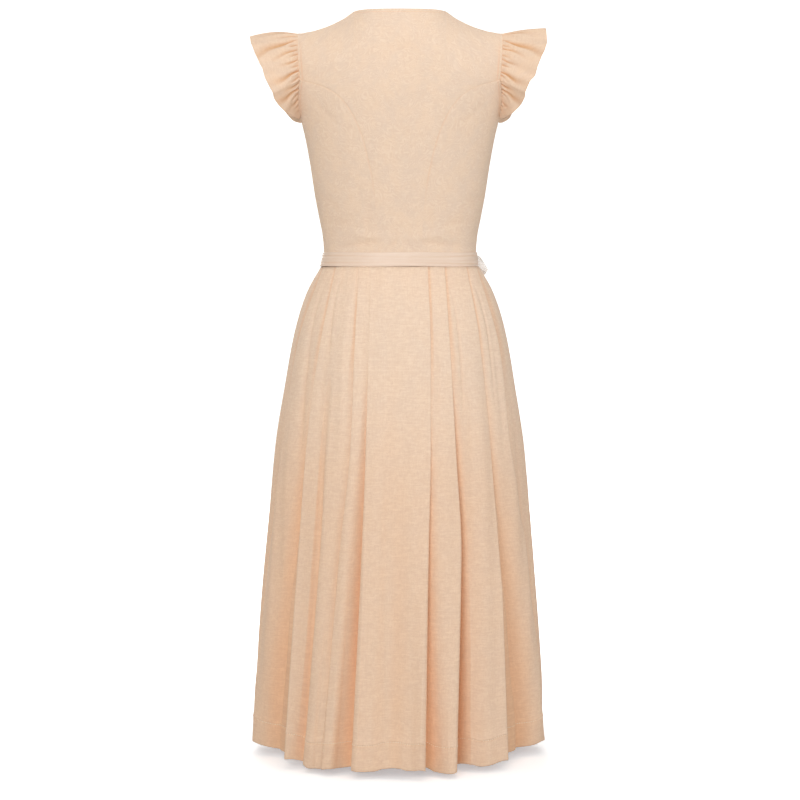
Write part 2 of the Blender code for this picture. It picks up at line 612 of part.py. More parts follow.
def pleat_row(pleat, z):
    """Five points of a pleat at height z: length past its edge, and height over the envelope."""
    opened = np.clip((pleat.release - z) / (pleat.release - HEM_Z), 0.0, 1.0)
    g, lap = LAYER_STEP, pleat.lap
    if lap > 0:
        shut = np.array([(0, 0), (0, -g), (-lap, -g), (-lap, -2 * g), (UNDER_END, -2 * g)])
    else:
        dip = np.array([0, -g / 4, -g / 2, -g / 4, 0])
        shut = np.stack([np.linspace(-SOFT_REACH, SOFT_REACH, PLEAT_POINTS), dip], axis=-1)
    v, d = pleat.valley, pleat.depth
    opening = np.array([
        (-FOLD_BEFORE, 0.0),
        (FOLD_PAST, -FOLD_DIP * d),
        (v - VALLEY_HALF, -d),
        (v + VALLEY_HALF, -d),
        (v + FOLD_RISE + d / 10, -FOLD_RISE_LEFT * d),
    ])
    return shut * (1 - opened) + opening * np.array([opened, opened ** OPENING_POWER])


def skirt_pleats():
    """Every pleat with the sign of its turning, in order round the ring from the centre back."""
    around = [(p, 1, 1) for p in BACK_RIGHT]
    around += [(p, -1, 1) for p in reversed(FRONT_RIGHT)]
    around += [(p, 1, -1) for p in FRONT_LEFT]
    around += [(p, -1, -1) for p in reversed(BACK_LEFT)]
    return around


def edge_degrees(pleat, turn, half, z):
    """Angle of a pleat's edge round the ring, from the centre back to the wearer's right."""
    own = smooth_through(PLEAT_Z, [pleat.waist, pleat.hip, pleat.mid, pleat.low, pleat.hem])(z)
    if half > 0:
        return own if turn > 0 else 180.0 - own
    return 180.0 + own if turn > 0 else 360.0 - own


def face(start, end, shape, points):
    """Places between two pleats: lengths and heights, with the step under an edge near its start."""
    share = np.linspace(0, 1, points + 2)[1:-1]
    length = start[0] + (end[0] - start[0]) * share
    height = start[1] * (1 - share) ** shape + end[1] * share ** shape
    return np.stack([length, height], axis=-1)


def centre_hollow(z):
    """How far the plain centre faces sink between their two edges, at height z."""
    share = np.linspace(0, 1, CENTRE_POINTS + 2)[1:-1]
    deep = CENTRE_HOLLOW * soft_step((WAIST_Z - FLARE / 2 - z) / (WAIST_Z - FLARE / 2 - HEM_Z))
    return np.stack([np.zeros(CENTRE_POINTS), deep * 4 * share * (1 - share)], axis=-1)


def side_face(start, end, seam):
    """Places between the last pleats of the back and of the front, with the side seam between."""
    before, after = (start[0] + seam) / 2, (end[0] + seam) / 2
    low, high = start[1] * SEAM_RISE_LEFT, end[1] * SEAM_RISE_LEFT
    return np.array([(before, low), (seam, 0.0), (after, high)])


def skirt_row(z):
    """Points of every column round the skirt at height z."""
    ring = skirt_ring(z)
    total = ring.length[-1]
    seam = ring.place(float(smooth_through(PLEAT_Z, SIDE_SEAM_DEG)(z)))
    groups = []
    for pleat, turn, half in skirt_pleats():
        place = ring.place(float(edge_degrees(pleat, turn, half, z)))
        row = pleat_row(pleat, z)
        points = np.stack([place + turn * row[:, 0], row[:, 1]], axis=-1)
        groups.append(points if turn > 0 else points[::-1])
    turned = np.clip((WAIST_Z - z) / FLARE, 0.0, 1.0)
    shape = FACE_POWER_TOP + (FACE_POWER_LOW - FACE_POWER_TOP) * turned
    spots = []
    for k, group in enumerate(groups):
        after = groups[(k + 1) % len(groups)][0] + np.array([total * (k == len(groups) - 1), 0.0])
        spots.append(group)
        if k == RIGHT_SIDE_AFTER:
            spots.append(side_face(group[-1], after, seam))
        elif k == LEFT_SIDE_AFTER:
            spots.append(side_face(group[-1], after, total - seam))
        elif k in CENTRE_AFTER:
            spots.append(face(group[-1], after, shape, CENTRE_POINTS) - centre_hollow(z))
        else:
            spots.append(face(group[-1], after, shape, FACE_POINTS))
    spots = np.concatenate(spots)
    return ring.at(spots[:, 0], spots[:, 1])


def mitred(points):
    """Outward offsets of a closed level outline, lengthened at its corners."""
    way = unit(np.roll(points, -1, axis=0) - points)
    out = np.stack([way[:, 1], -way[:, 0]], axis=-1)
    both = out + np.roll(out, 1, axis=0)
    size = np.linalg.norm(both, axis=-1, keepdims=True)
    return both / np.maximum(size, 1e-9) * np.minimum(2 / np.maximum(size, 1e-9), MITRE_MOST)


def skirt_grids():
    """The whole skirt's points and offsets, and the columns of its two side seams."""
    rings = [skirt_row(z) for z in SKIRT_ROWS_Z]
    offsets = [mitred(r) for r in rings]
    points = np.stack([np.column_stack([r, np.full(len(r), z)]) for r, z in zip(rings, SKIRT_ROWS_Z)])
    offset = np.stack([np.column_stack([o, np.zeros(len(o))]) for o in offsets])
    count = [CENTRE_POINTS if k in CENTRE_AFTER else FACE_POINTS for k in range(len(skirt_pleats()))]
    count[RIGHT_SIDE_AFTER] = count[LEFT_SIDE_AFTER] = SIDE_POINTS
    starts = np.concatenate([[0], np.cumsum([PLEAT_POINTS + c for c in count])])
    right = starts[RIGHT_SIDE_AFTER] + PLEAT_POINTS + 1
    left = starts[LEFT_SIDE_AFTER] + PLEAT_POINTS + 1
    return points, offset, right, left


def skirt():
    """The skirt's front and back, with a seam at each side."""
    points, offset, right, left = skirt_grids()
    total = points.shape[1]
    spans = {"skirt_front": np.arange(right, left + 1),
             "skirt_back": np.arange(left, total + right + 1) % total}
    for name, span in spans.items():
        middle = pull_in(points[:, span], ("left", "right"))
        wall(name, middle, offset[:, span], CLOTH, PEACH)


def belt_ring(z):
    """The body's section at height z, where the belt lies."""
    return Ring(body_width(z), body_back(z), body_front(z))


def over_lap(points):
    """How far the belt stands out where it crosses the lapped fronts."""
    x, y = points[:, 0], points[:, 1]
    right = lap_lift(-x)
    left = LAP_LIFT * (1 - soft_step((x - LAP_PAST_CENTRE - LAP_SIDE_CLEAR) / LAP_SIDE_FALL))
    return np.where(y < 0, np.where(x < 0, right, left), 0.0)


def belt():
    """The ribbon round the waist."""
    rows, outs = [], []
    for z in (BELT_TOP_Z, BELT_BOTTOM_Z):
        ring = belt_ring(z)
        at = np.arange(BELT_COLUMNS) / BELT_COLUMNS * ring.length[-1]
        plain = ring.at(at, np.zeros(BELT_COLUMNS))
        out = CLOTH / 2 + BELT_CLEAR + RIBBON / 2 + over_lap(plain)
        placed = ring.at(at, out)
        rows.append(np.column_stack([placed, np.full(BELT_COLUMNS, z)]))
        outs.append(np.column_stack([mitred(placed), np.zeros(BELT_COLUMNS)]))
    wall("belt", np.array(rows), np.array(outs), RIBBON, IVORY, closed=True)


def knot_frame():
    """Place of the knot on the belt, the way along the belt to the front, and the way out."""
    ends = np.array([BELT_TOP_Z, BELT_BOTTOM_Z])
    ring = Ring(*[np.mean(size(ends)) for size in (body_width, body_back, body_front)])
    at = ring.place(180.0 - KNOT_DEG)
    out = CLOTH / 2 + BELT_CLEAR + RIBBON
    base, ahead = ring.at(np.array([at, at + 0.001]), np.full(2, out))
    along = unit(np.append(ahead - base, 0.0))
    outward = np.array([along[1], -along[0], 0.0])
    return np.append(base, np.mean(ends)), along, outward


def rounded_block(name, centre, axes, size, power, colour, around=12, rows=7):
    """A block with rounded sides and ends: a superellipsoid on three axes."""
    v = np.linspace(-math.pi / 2, math.pi / 2, rows)[1:-1, None]
    u = np.arange(around)[None, :] / around * 2 * math.pi

    def bent(value):
        return np.sign(value) * np.abs(value) ** power

    local = np.stack([bent(np.cos(v)) * bent(np.cos(u)), bent(np.cos(v)) * bent(np.sin(u)),
                      bent(np.sin(v)) * np.ones_like(u)], axis=-1) * np.array(size) / 2
    ends = np.array([[0, 0, -size[2] / 2], [0, 0, size[2] / 2]])
    points = np.concatenate([local.reshape(-1, 3), ends]) @ np.array(axes) + centre
    inner = rows - 2
    faces = [list(f) for f in quads(inner, around, 0, closed=True)]
    bottom, top = inner * around, inner * around + 1
    for j in range(around):
        k = (j + 1) % around
        faces.append([bottom, k, j])
        faces.append([top, (inner - 1) * around + j, (inner - 1) * around + k])
    solid(name, points, faces, colour, 0.4)


def bow_loop(name, base, along, outward, droop):
    """One loop of the bow: the ribbon runs out near the belt, turns and comes back over it."""
    t = np.linspace(0, 1, 15)
    start = KNOT_SIZE[0] / 2 + SEAM_GAP
    reach = start + (LOOP_LENGTH - start) * np.sin(np.pi * t) ** LOOP_POWER
    full = LOOP_FULLNESS * np.sin(np.pi * t) * (LOOP_SIDE + (1 - LOOP_SIDE) * t)
    out = LOOP_CLEAR + LOOP_SPREAD * t + full
    share = (reach - start) / (LOOP_LENGTH - start)
    half = LOOP_HEIGHT / 2 * (GATHERED + (1 - GATHERED) * soft_step(share * LOOP_SPREAD_BY))
    rise = np.linspace(1, -1, 3)[:, None]
    z = rise * half - droop * share ** LOOP_DROOP_POWER
    middle = base + reach[:, None] * along + out[:, None] * outward
    middle = middle[None] + z[..., None] * np.array([0.0, 0.0, 1.0])
    normal = unit(np.cross(np.gradient(middle, axis=0), np.gradient(middle, axis=1)))
    wall(name, middle, normal, RIBBON, IVORY, 0.4)


def bow_tail(name, lean, out, length, base_z):
    """One hanging end of the ribbon, lying on the skirt below the knot."""
    top = base_z - KNOT_SIZE[2] / 2 - SEAM_GAP
    levels = [top] + [z for z in SKIRT_ROWS_Z if top - length < z < top - 0.004] + [top - length]
    rows, outs = [], []
    for z in levels:
        below = (top - z) / length
        ring = skirt_ring(z)
        half = TAIL_WIDTH / 2 * (GATHERED + (1 - GATHERED) * soft_step(below * TAIL_SPREAD_BY))
        at = ring.place(180.0 - KNOT_DEG) + lean * (TAIL_START + below)
        across = at + np.array([-1.0, 0.0, 1.0]) * half
        slant = TAIL_SLANT * np.array([-1.0, 0.0, 1.0]) * (z == levels[-1]) * np.sign(lean)
        placed = ring.at(across, np.full(3, out))
        rows.append(np.column_stack([placed, z + slant]))
        way = unit(np.gradient(placed, axis=0))
        outs.append(np.column_stack([way[:, 1], -way[:, 0], np.zeros(3)]))
    wall(name, np.array(rows), np.array(outs), RIBBON, IVORY, 0.4)


def bow():
    """The bow at the wearer's right, in front: a knot, two loops and two ends."""
    base, along, outward = knot_frame()
    up = np.array([0.0, 0.0, 1.0])
    centre = base + outward * (KNOT_SIZE[1] / 2 + SEAM_GAP)
    rounded_block("bow_knot", centre, (along, outward, up), KNOT_SIZE, 0.7, IVORY)
    bow_loop("bow_loop_front", base, along, outward, 0.007)
    bow_loop("bow_loop_side", base, -along, outward, 0.009)
    for k, name in enumerate(("bow_tail_a", "bow_tail_b")):
        bow_tail(name, TAIL_LEAN[k], TAIL_OUT[k], TAIL_LENGTHS[k], base[2])


def buttons():
    """The covered buttons, on the upper front's own points along the centre line."""
    middle, normal = front_grid(lifted=True)
    line = middle[:, BUTTON_COLUMN] + normal[:, BUTTON_COLUMN] * (CLOTH / 2 + BUTTON_CLEAR)
    across = np.array([1.0, 0.0, 0.0])
    for k, z in enumerate(np.linspace(BUTTON_TOP_Z, BUTTON_BOTTOM_Z, BUTTON_COUNT)):
        row = int(np.sum(line[:, 2] > z))
        upper, lower = line[row - 1], line[row]
        share = (upper[2] - z) / (upper[2] - lower[2])
        seat = (upper * (1 - share) + lower * share) * np.array([0.0, 1.0, 1.0])
        up = unit((upper - lower) * np.array([0.0, 1.0, 1.0]))
        dome(f"button_{k + 1}", seat, across, up, np.cross(across, up))


def dome(name, seat, across, up, out, sides=12):
    """A button: a flat back, an upright rim and a low dome."""
    ring = np.arange(sides) / sides * 2 * math.pi
    circle = np.cos(ring)[:, None] * across + np.sin(ring)[:, None] * up
    profile = [(1.0, 0.0), (1.0, 0.35), (0.78, 0.80)]
    rows = [seat + circle * BUTTON_RADIUS * r + out * BUTTON_RISE * h for r, h in profile]
    points = np.concatenate(rows + [[seat, seat + out * BUTTON_RISE]])
    faces = [list(f) for f in quads(len(profile), sides, 0, closed=True)]
    back, tip = len(profile) * sides, len(profile) * sides + 1
    last = (len(profile) - 1) * sides
    for j in range(sides):
        k = (j + 1) % sides
        faces.append([back, k, j])
        faces.append([tip, last + j, last + k])
    solid(name, points, faces, PEACH, 0.7)


def main():
    """Build every piece."""
    clear_scene()
    centre_back()
    for left, hand in ((True, "l"), (False, "r")):
        side_panel("side_back_" + hand, BACK_SEAM, 1, left)
        side_panel("side_front_" + hand, FRONT_SEAM, -1, left)
    fronts()
    ruffles()
    skirt()
    belt()
    bow()
    buttons()


main()
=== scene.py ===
"""The cloth, sewing, ribbon and studio of a worn peach dirndl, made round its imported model.

Metres, +Z up, the garment's back towards +Y. Every cloth piece is a thin closed shell on the
form of its solid: the same seam lines, pleat tables and level sections, worked out on fine grids.
"""

import math
from collections import namedtuple

import bpy
import numpy as np
from bpy.props import FloatProperty, FloatVectorProperty, PointerProperty
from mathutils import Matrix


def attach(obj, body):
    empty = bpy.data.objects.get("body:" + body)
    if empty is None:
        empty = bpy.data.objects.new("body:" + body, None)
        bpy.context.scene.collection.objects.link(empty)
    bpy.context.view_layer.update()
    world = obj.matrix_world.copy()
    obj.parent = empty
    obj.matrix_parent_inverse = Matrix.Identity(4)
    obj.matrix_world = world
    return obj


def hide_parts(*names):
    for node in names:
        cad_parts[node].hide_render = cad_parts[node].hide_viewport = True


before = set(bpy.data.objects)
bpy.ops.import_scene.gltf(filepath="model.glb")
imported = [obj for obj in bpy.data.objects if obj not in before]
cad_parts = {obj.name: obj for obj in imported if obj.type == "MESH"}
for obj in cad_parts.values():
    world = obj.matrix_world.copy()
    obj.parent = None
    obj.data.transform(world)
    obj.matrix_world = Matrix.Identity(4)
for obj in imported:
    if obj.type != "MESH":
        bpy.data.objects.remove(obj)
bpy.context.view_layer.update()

bl_info = {
    "name": "Peach dirndl",
    "version": (1, 0, 0),
    "blender": (4, 5, 0),
    "location": "3D View > Sidebar > Dirndl",
    "description": "Builds a worn dirndl: panels, ruffles, pleated skirt, ribbon belt and studio",
    "category": "Object",
}

# Sizes shared with the solids
SEAM_GAP = 0.0003
BORDER = 0.0002            # from a free edge to the row of points beside it
NECK_HALF, SHOULDER_HALF = 0.073, 0.162
NAPE_Z, UNDERARM_Z, WAIST_Z, HEM_Z = -0.001, -0.178, -0.4025, -1.172
BELT_TOP_Z, BELT_BOTTOM_Z = -0.38, -0.4018
SHOULDER_ROUND = 0.09
SECTION_POWER = 2.3
LAP_PAST_CENTRE, LAP_FULL, LAP_GONE, LAP_LIFT = 0.012, 0.02, 0.034, 0.0018
BUST_RISE, BUST_X, BUST_Z, BUST_WIDTH, BUST_HEIGHT = 0.018, 0.083, -0.245, 0.04, 0.052
SOLID_CLOTH, SOLID_RIBBON = 0.0012, 0.0011
MIRROR, LEVEL, UP = np.array([-1.0, 1.0, 1.0]), np.array([1.0, 1.0, 0.0]), np.array([0.0, 0.0, 1.0])
FRONT_WAY = np.array([0.0, -1.0, 0.2])  # roughly outwards all over the front

# Level sections of the body: z, half width, back depth, front depth
BODY = np.array([
    (0.05, 0.18, 0.07, 0.071), (0, 0.18, 0.075, 0.076), (-0.05, 0.18, 0.086, 0.086),
    (-0.098, 0.1765, 0.096, 0.096), (-0.137, 0.169, 0.1, 0.105), (-0.179, 0.1548, 0.0995, 0.113),
    (-0.209, 0.1481, 0.098, 0.117), (-0.246, 0.1416, 0.095, 0.118), (-0.29, 0.135, 0.0905, 0.111),
    (-0.325, 0.1284, 0.0865, 0.103), (-0.357, 0.1225, 0.0835, 0.0975),
    (BELT_TOP_Z, 0.1209, 0.082, 0.096), (WAIST_Z, 0.123, 0.0835, 0.0975),
])
# Level sections of the skirt's envelope: z, half width, back depth, front depth, power
SKIRT = np.array([
    (WAIST_Z, 0.1256, 0.086, 0.1, 2.3), (-0.442, 0.1479, 0.108, 0.119, 2.3),
    (-0.485, 0.163, 0.124, 0.132, 2.3), (-0.528, 0.1731, 0.136, 0.143, 2.26),
    (-0.587, 0.1833, 0.149, 0.154, 2.2), (-0.682, 0.1983, 0.167, 0.169, 2.1),
    (-0.777, 0.2067, 0.18, 0.18, 2), (-0.94, 0.2209, 0.196, 0.194, 1.86),
    (HEM_Z, 0.2367, 0.212, 0.208, 1.74),
])
# The shoulder's top: distance from the centre line and height
RIDGE = np.array([
    (0, 0.032), (0.03, 0.027), (0.05, 0.018), (0.073, 0), (0.09, -0.0115), (0.118, -0.0245),
    (0.14, -0.031), (0.162, -0.0345), (0.18, -0.036),
])
# Seam and edge lines: distance from the centre line and height
BACK_ARMHOLE = [
    (0.162, -0.0345), (0.1614, -0.0475), (0.1606, -0.065), (0.159, -0.0875), (0.1568, -0.1105),
]
BACK_SEAM = [
    (0.1568, -0.1105), (0.141, -0.1158), (0.1246, -0.1212), (0.1016, -0.1332), (0.0815, -0.1535),
    (0.0667, -0.1798), (0.0562, -0.2082), (0.048, -0.2407), (0.042, -0.271), (0.0372, -0.312),
    (0.0351, -0.345), (0.0344, BELT_TOP_Z), (0.0339, WAIST_Z),
]
CENTRE_BACK_Z = [
    NAPE_Z, -0.016, -0.036, -0.062, -0.088, -0.105, -0.121, -0.141,
    -0.164, -0.189, -0.216, -0.246, -0.277, -0.312, -0.345, BELT_TOP_Z, WAIST_Z,
]
FRONT_ARMHOLE = [
    (0.162, -0.0345), (0.159, -0.0475), (0.1555, -0.067), (0.1522, -0.093), (0.15, -0.12),
]
FRONT_SEAM = [
    (0.15, -0.12), (0.14, -0.144), (0.126, -0.169), (0.111, -0.194), (0.0975, -0.219),
    (0.088, -0.245), (0.0795, -0.275), (0.0695, -0.309), (0.06, -0.345), (0.0535, BELT_TOP_Z),
    (0.051, WAIST_Z),
]
FRONT_EDGE = [
    (NECK_HALF, 0), (0.0757, -0.03), (0.0757, -0.06), (0.0725, -0.09),
    (0.064, -0.121), (0.049, -0.148), (0.029, -0.166), (0.01, -0.1738),
] + [(-LAP_PAST_CENTRE, z) for z in (-0.175, -0.213, -0.251, -0.289, -0.333, BELT_TOP_Z, WAIST_Z)]
LAP_COLUMNS = np.array([(0, 0), (0.012, 0.22), (0.024, 0.42), (0.032, 0.56), (0.046, 0.78)])
TOP_ROWS = 7
POINT_CUT = 0.12
ARMHOLE_CORNER = 4         # row of the mark where an armhole meets a curved seam
UNDERARM_ROWS = 6
ARMHOLE_STITCH = 0.0068    # from a turned edge to its topstitching
SEAM_FLAT_Z = -0.255       # height where the seams begin to lie flat

Pleat = namedtuple("Pleat", "waist hip mid low hem lap release valley depth")
PLEAT_Z = (WAIST_Z, -0.528, -0.682, -0.842, HEM_Z)
BACK_RIGHT = [Pleat(*row) for row in (
    (20, 15.8, 13.7, 11.8, 9.1, 0.016, -0.64, 0.011, 0.031),
    (33.5, 26.5, 25.9, 26.9, 22.1, 0.014, -0.57, 0.016, 0.054),
    (56, 46.7, 46.6, 47.4, 46.4, 0.015, -0.66, 0.08, 0.038),
    (74, 64, 61, 71, 88, 0.01, -0.56, 0.011, 0.007),
)]
BACK_LEFT = [Pleat(*row) for row in (
    (21, 16.3, 15.4, 16.1, 18.3, 0.015, -0.585, 0.014, 0.028),
    (30.2, 23.8, 22.5, 25.6, 30, 0.01, -0.51, 0.014, 0.0065),
    (42, 36.5, 36, 36.2, 39.6, 0, -0.56, 0.01, 0.018),
    (53, 46.2, 47.2, 48, 49.6, 0.012, -0.6, 0.068, 0.034),
    (75, 69, 68, 75, 87, 0.01, -0.56, 0.011, 0.007),
)]
FRONT_RIGHT = [Pleat(*row) for row in (
    (21, 16.5, 15.2, 14.4, 13.6, 0.016, -0.6, 0.01, 0.046),
    (37, 30.5, 29, 28.6, 27.6, 0.014, -0.56, 0.016, 0.058),
    (55, 47.5, 46.5, 46.8, 46, 0.014, -0.6, 0.02, 0.05),
    (73.5, 67, 65.5, 64.5, 62, 0.012, -0.56, 0.016, 0.048),
)]
FRONT_LEFT = [Pleat(*row) for row in (
    (20, 15.8, 15, 15.2, 16.2, 0.016, -0.62, 0.01, 0.044),
    (35.5, 29.6, 29.2, 30, 31.5, 0.014, -0.58, 0.018, 0.06),
    (54.5, 48.5, 48, 49, 49.5, 0.014, -0.56, 0.018, 0.046),
    (73, 66.5, 65, 64.5, 63, 0.012, -0.58, 0.014, 0.046),
)]
# Pleats that lie flatter near the belt: share of the layer step there, and where it ends
SOFT_TOPPED = {BACK_LEFT[0]: (0.25, -0.52), BACK_LEFT[1]: (0.45, -0.4)}
STEEP_FOLDS = (BACK_RIGHT[2], BACK_LEFT[3])  # a crisp edge with its deep valley beside it
ROUND_FOLDS = (BACK_LEFT[2], BACK_LEFT[4], BACK_RIGHT[3], *FRONT_LEFT[2:], *FRONT_RIGHT[2:])
# Length before the edge, and shares of the depth just past it and halfway to the valley
ROUND_SHAPE, STEEP_SHAPE = (0.012, 0.26, 0.62), (0.006, 0.46, 0.84)
PLAIN_SHAPE = (0.007, 0.16, 0.6)
SMALL_FOLD = 0.026
PLEAT_CLEAR = 0.007        # least length of cloth between one pleat and the next
SIDE_SEAM_DEG = (90, 91, 92.5, 95, 100.5)
RIGHT_SIDE_AFTER, LEFT_SIDE_AFTER, CENTRE_AFTER = 3, 11, (7, 16)
LAYER_STEP, UNDER_END, SOFT_REACH = 0.001, 0.003, 0.008
FOLD_PAST, VALLEY_HALF = 0.002, 0.0045
FOLD_RISE, FOLD_RISE_LEFT, FLARE, CENTRE_HOLLOW = 0.016, 0.42, 0.4, 0.016
FACE_POWER_TOP, FACE_POWER_LOW, SIDE_POWER, OPENING_POWER = 8, 2, 2.3, 0.8
FACE_SHARES = (0.05, 0.16, 0.33, 0.5, 0.67, 0.84, 0.95)
CENTRE_SHARES = (0.03, 0.1, 0.21, 0.35, 0.5, 0.65, 0.79, 0.9, 0.97)
SIDE_POINTS = 5
LEFT_SPREAD = 0.0042       # how far the skirt's left side stands out at the hem
# Rise of the hem at the back: distance to the wearer's left, and height
HEM_RISE = np.array([
    (-0.23, 0.008), (-0.217, 0.005), (-0.19, 0.0025), (-0.175, 0.0015), (-0.163, 0.003),
    (-0.154, 0.0015), (-0.142, -0.0015), (-0.124, -0.003), (-0.112, -0.0005), (-0.0995, 0),
    (-0.0845, -0.004), (-0.0695, -0.005), (-0.054, -0.005), (-0.042, 0), (-0.03, 0.0045),
    (-0.021, 0.002), (-0.012, 0.0015), (0, 0.004), (0.012, 0.0045), (0.027, 0.003), (0.039, -0.001),
    (0.054, -0.0015), (0.0725, 0), (0.091, -0.0015), (0.109, -0.0015), (0.127, -0.0045),
    (0.142, -0.005), (0.154, 0), (0.169, 0.003), (0.19, 0.0005), (0.208, 0.0025), (0.225, 0.005),
    (0.24, 0.008),
])
SPREAD_Z, SCALLOP_Z, DRAWN_Z = -0.47, -0.98, -1.06  # heights where these changes begin
STITCH_Z = HEM_Z + 0.04    # height of the stitching that holds the turned-up hem
OPEN_Z, MIDDLE_Z = -0.5, -0.75  # heights where the pleats have opened, and where lengths are taken
HEM_DRAWN = 0.0034         # how far the sides of the hem are drawn in
SEAM_TURN = 0.0008         # how far the skirt's cloth turns in at a side seam
SEAM_STEPS = (SEAM_GAP / 2, 0.0009, 0.0022, 0.004)
# Painted warm shade of the skirt, by the fold attribute: in folds, on walls that face sideways, low
# down and in the groove of the hem's stitching. The doubled hem takes the same tint.
FOLD_SHADE = 0.0115        # depth in a fold at which most of its warm shade is reached
FOLD_REACH = 0.019         # how far along the cloth the depth of a fold is judged
WIDE_SHADE = 0.34          # share of the depth of the wide valleys at the sides that shades them
HEM_SHADE = 0.2            # warm shade of the doubled cloth of the hem
STITCH_SHADE = 0.32        # warm shade along the hem's stitching
STEEP_SHADE = 0.26         # warm shade of cloth that faces sideways
FOLD_DEEPEST = 0.66        # share of the fold tint in the deepest fold
LOW_PAINTED_SHADE = 0.15          # warm shade of all the cloth low down on the skirt

# Armhole ruffle: share along, width, drop and sweep in degrees
RUFFLE = np.array([
    (0, 0.0735, 0, 0), (0.15, 0.0735, 4, 10), (0.32, 0.066, 11, 20), (0.5, 0.056, 20, 27),
    (0.68, 0.044, 30, 30), (0.84, 0.028, 38, 30), (1, 0.006, 44, 28),
])
RUFFLE_END, RUFFLE_FULL_WIDTH = 0.855, 0.045
RUFFLE_START, RUFFLE_STAND = -0.0012, 0.0006
# For each hand: rise of the top edge, droop of its corner, added width there and low down, and
# depth and number of the slow waves
RUFFLE_BOW = {"l": (0.004, 0.004, 0.0038, 0.004, 0.0014, 5.3),
              "r": (0.0042, -0.0092, -0.0038, 0, 0.0036, 3.7)}
# Gathers of half a ruffle: place along the seam, how far it wanders, share of the width that it
# reaches, and depth
Gather = namedtuple("Gather", "start drift reach depth")
GATHERS = [Gather(*row) for row in (
    (0.04, 0.03, 0.5, 0.0026), (0.105, 0.05, 0.3, 0.003), (0.165, 0.12, 0.85, 0.0036),
    (0.225, 0.05, 0.24, 0.003), (0.285, 0.08, 0.46, 0.0034), (0.345, 0.03, 0.2, 0.0028),
    (0.4, 0.04, 0.34, 0.0034), (0.46, 0.01, 0.22, 0.003), (0.52, 0.03, 0.62, 0.004),
    (0.585, 0.01, 0.26, 0.0032), (0.64, 0.03, 0.4, 0.0034), (0.7, 0.02, 0.8, 0.004),
    (0.76, 0, 0.3, 0.003), (0.815, 0.02, 0.5, 0.0034), (0.87, 0.01, 0.34, 0.0028),
    (0.93, 0, 0.5, 0.0024),
)]

BELT_OUT = SOLID_CLOTH / 2 + 0.0005  # from the bodice cloth's middle to the belt
LAP_SIDE_CLEAR, LAP_SIDE_FALL = 0.003, 0.012
BELT_FLARE = 0.0028        # how far the belt's lower edge stands out at the wearer's left
KNOT_DEG, KNOT_SIZE = 58, (0.018, 0.011, 0.024)
LOOP_LENGTHS, LOOP_DROOPS = (0.056, 0.043), (0.007, 0.013)
LOOP_FULLNESS, LOOP_HEIGHT, LOOP_CLEAR, LOOP_SPREAD = 0.013, 0.025, 0.003, 0.004
LOOP_POINT = 0.34          # how much shorter a loop is at its edges than in its middle
TAIL_WIDTH, GATHERED, TAIL_LENGTHS = 0.025, 0.46, (0.225, 0.265)
TAIL_LEAN, TAIL_OUT, TAIL_SLANT, TAIL_START = (0.026, -0.022), (0.0026, 0.0046), 0.01, 0.06
BUTTON_RADIUS, BUTTON_RISE, BUTTON_CLEAR = 0.0056, 0.0034, 0.0006
BUTTON_TOP_Z, BUTTON_BOTTOM_Z, BUTTON_COUNT = -0.189, -0.368, 7
# Outline of a button from its back to its crown: shares of its radius and of its rise
BUTTON_PROFILE = np.array([
    (0, -0.1), (0.8, -0.1), (0.97, 0), (1.02, 0.18), (0.99, 0.38), (0.9, 0.62), (0.72, 0.82),
    (0.46, 0.95), (0.22, 0.99), (0, 1),
])
STAGE_HALF = 9.0

# Soft creases: each runs from one place to another, in degrees round from the centre back to the
# wearer's right and height. width: of its trough. depth: below 0 a trough, above 0 a ridge.
Crease = namedtuple("Crease", "deg_a z_a deg_b z_b width depth")
LEVEL_CREASE = 0.05        # a crease that rises by less is followed by its angle
PAST_CREASE = 0.2          # share of its length by which a crease is followed past its ends
BODICE_CREASES = [Crease(*row) for row in (
    (-62, -0.372, -18, -0.362, 0.0042, -0.0016), (-50, -0.35, -8, -0.362, 0.006, 0.0012),
    (-34, -0.362, -28, -0.3, 0.005, -0.0009), (-44, -0.366, -40, -0.322, 0.0042, 0.001),
    (12, -0.368, 48, -0.354, 0.0042, -0.0016), (30, -0.366, 26, -0.312, 0.005, -0.001),
    (50, -0.37, 76, -0.36, 0.0045, -0.0014), (-14, -0.37, -2, -0.364, 0.004, -0.0012),
    (2, -0.358, 16, -0.366, 0.004, 0.001), (30, -0.34, 66, -0.322, 0.007, -0.001),
    (-70, -0.33, -38, -0.338, 0.007, -0.0009), (58, -0.302, 80, -0.288, 0.008, -0.0009),
    (-78, -0.29, -56, -0.306, 0.008, -0.0008), (66, -0.15, 50, -0.196, 0.007, -0.001),
    (-64, -0.146, -48, -0.186, 0.0075, -0.001), (-20, -0.06, 18, -0.066, 0.009, -0.0008),
    (118, -0.362, 158, -0.37, 0.005, -0.001), (-112, -0.37, -150, -0.358, 0.0055, -0.0011),
    (104, -0.318, 134, -0.3, 0.007, -0.0009), (-106, -0.296, -128, -0.316, 0.007, -0.0009),
    (112, -0.176, 128, -0.222, 0.0075, -0.001), (-110, -0.18, -126, -0.228, 0.008, -0.001),
)]
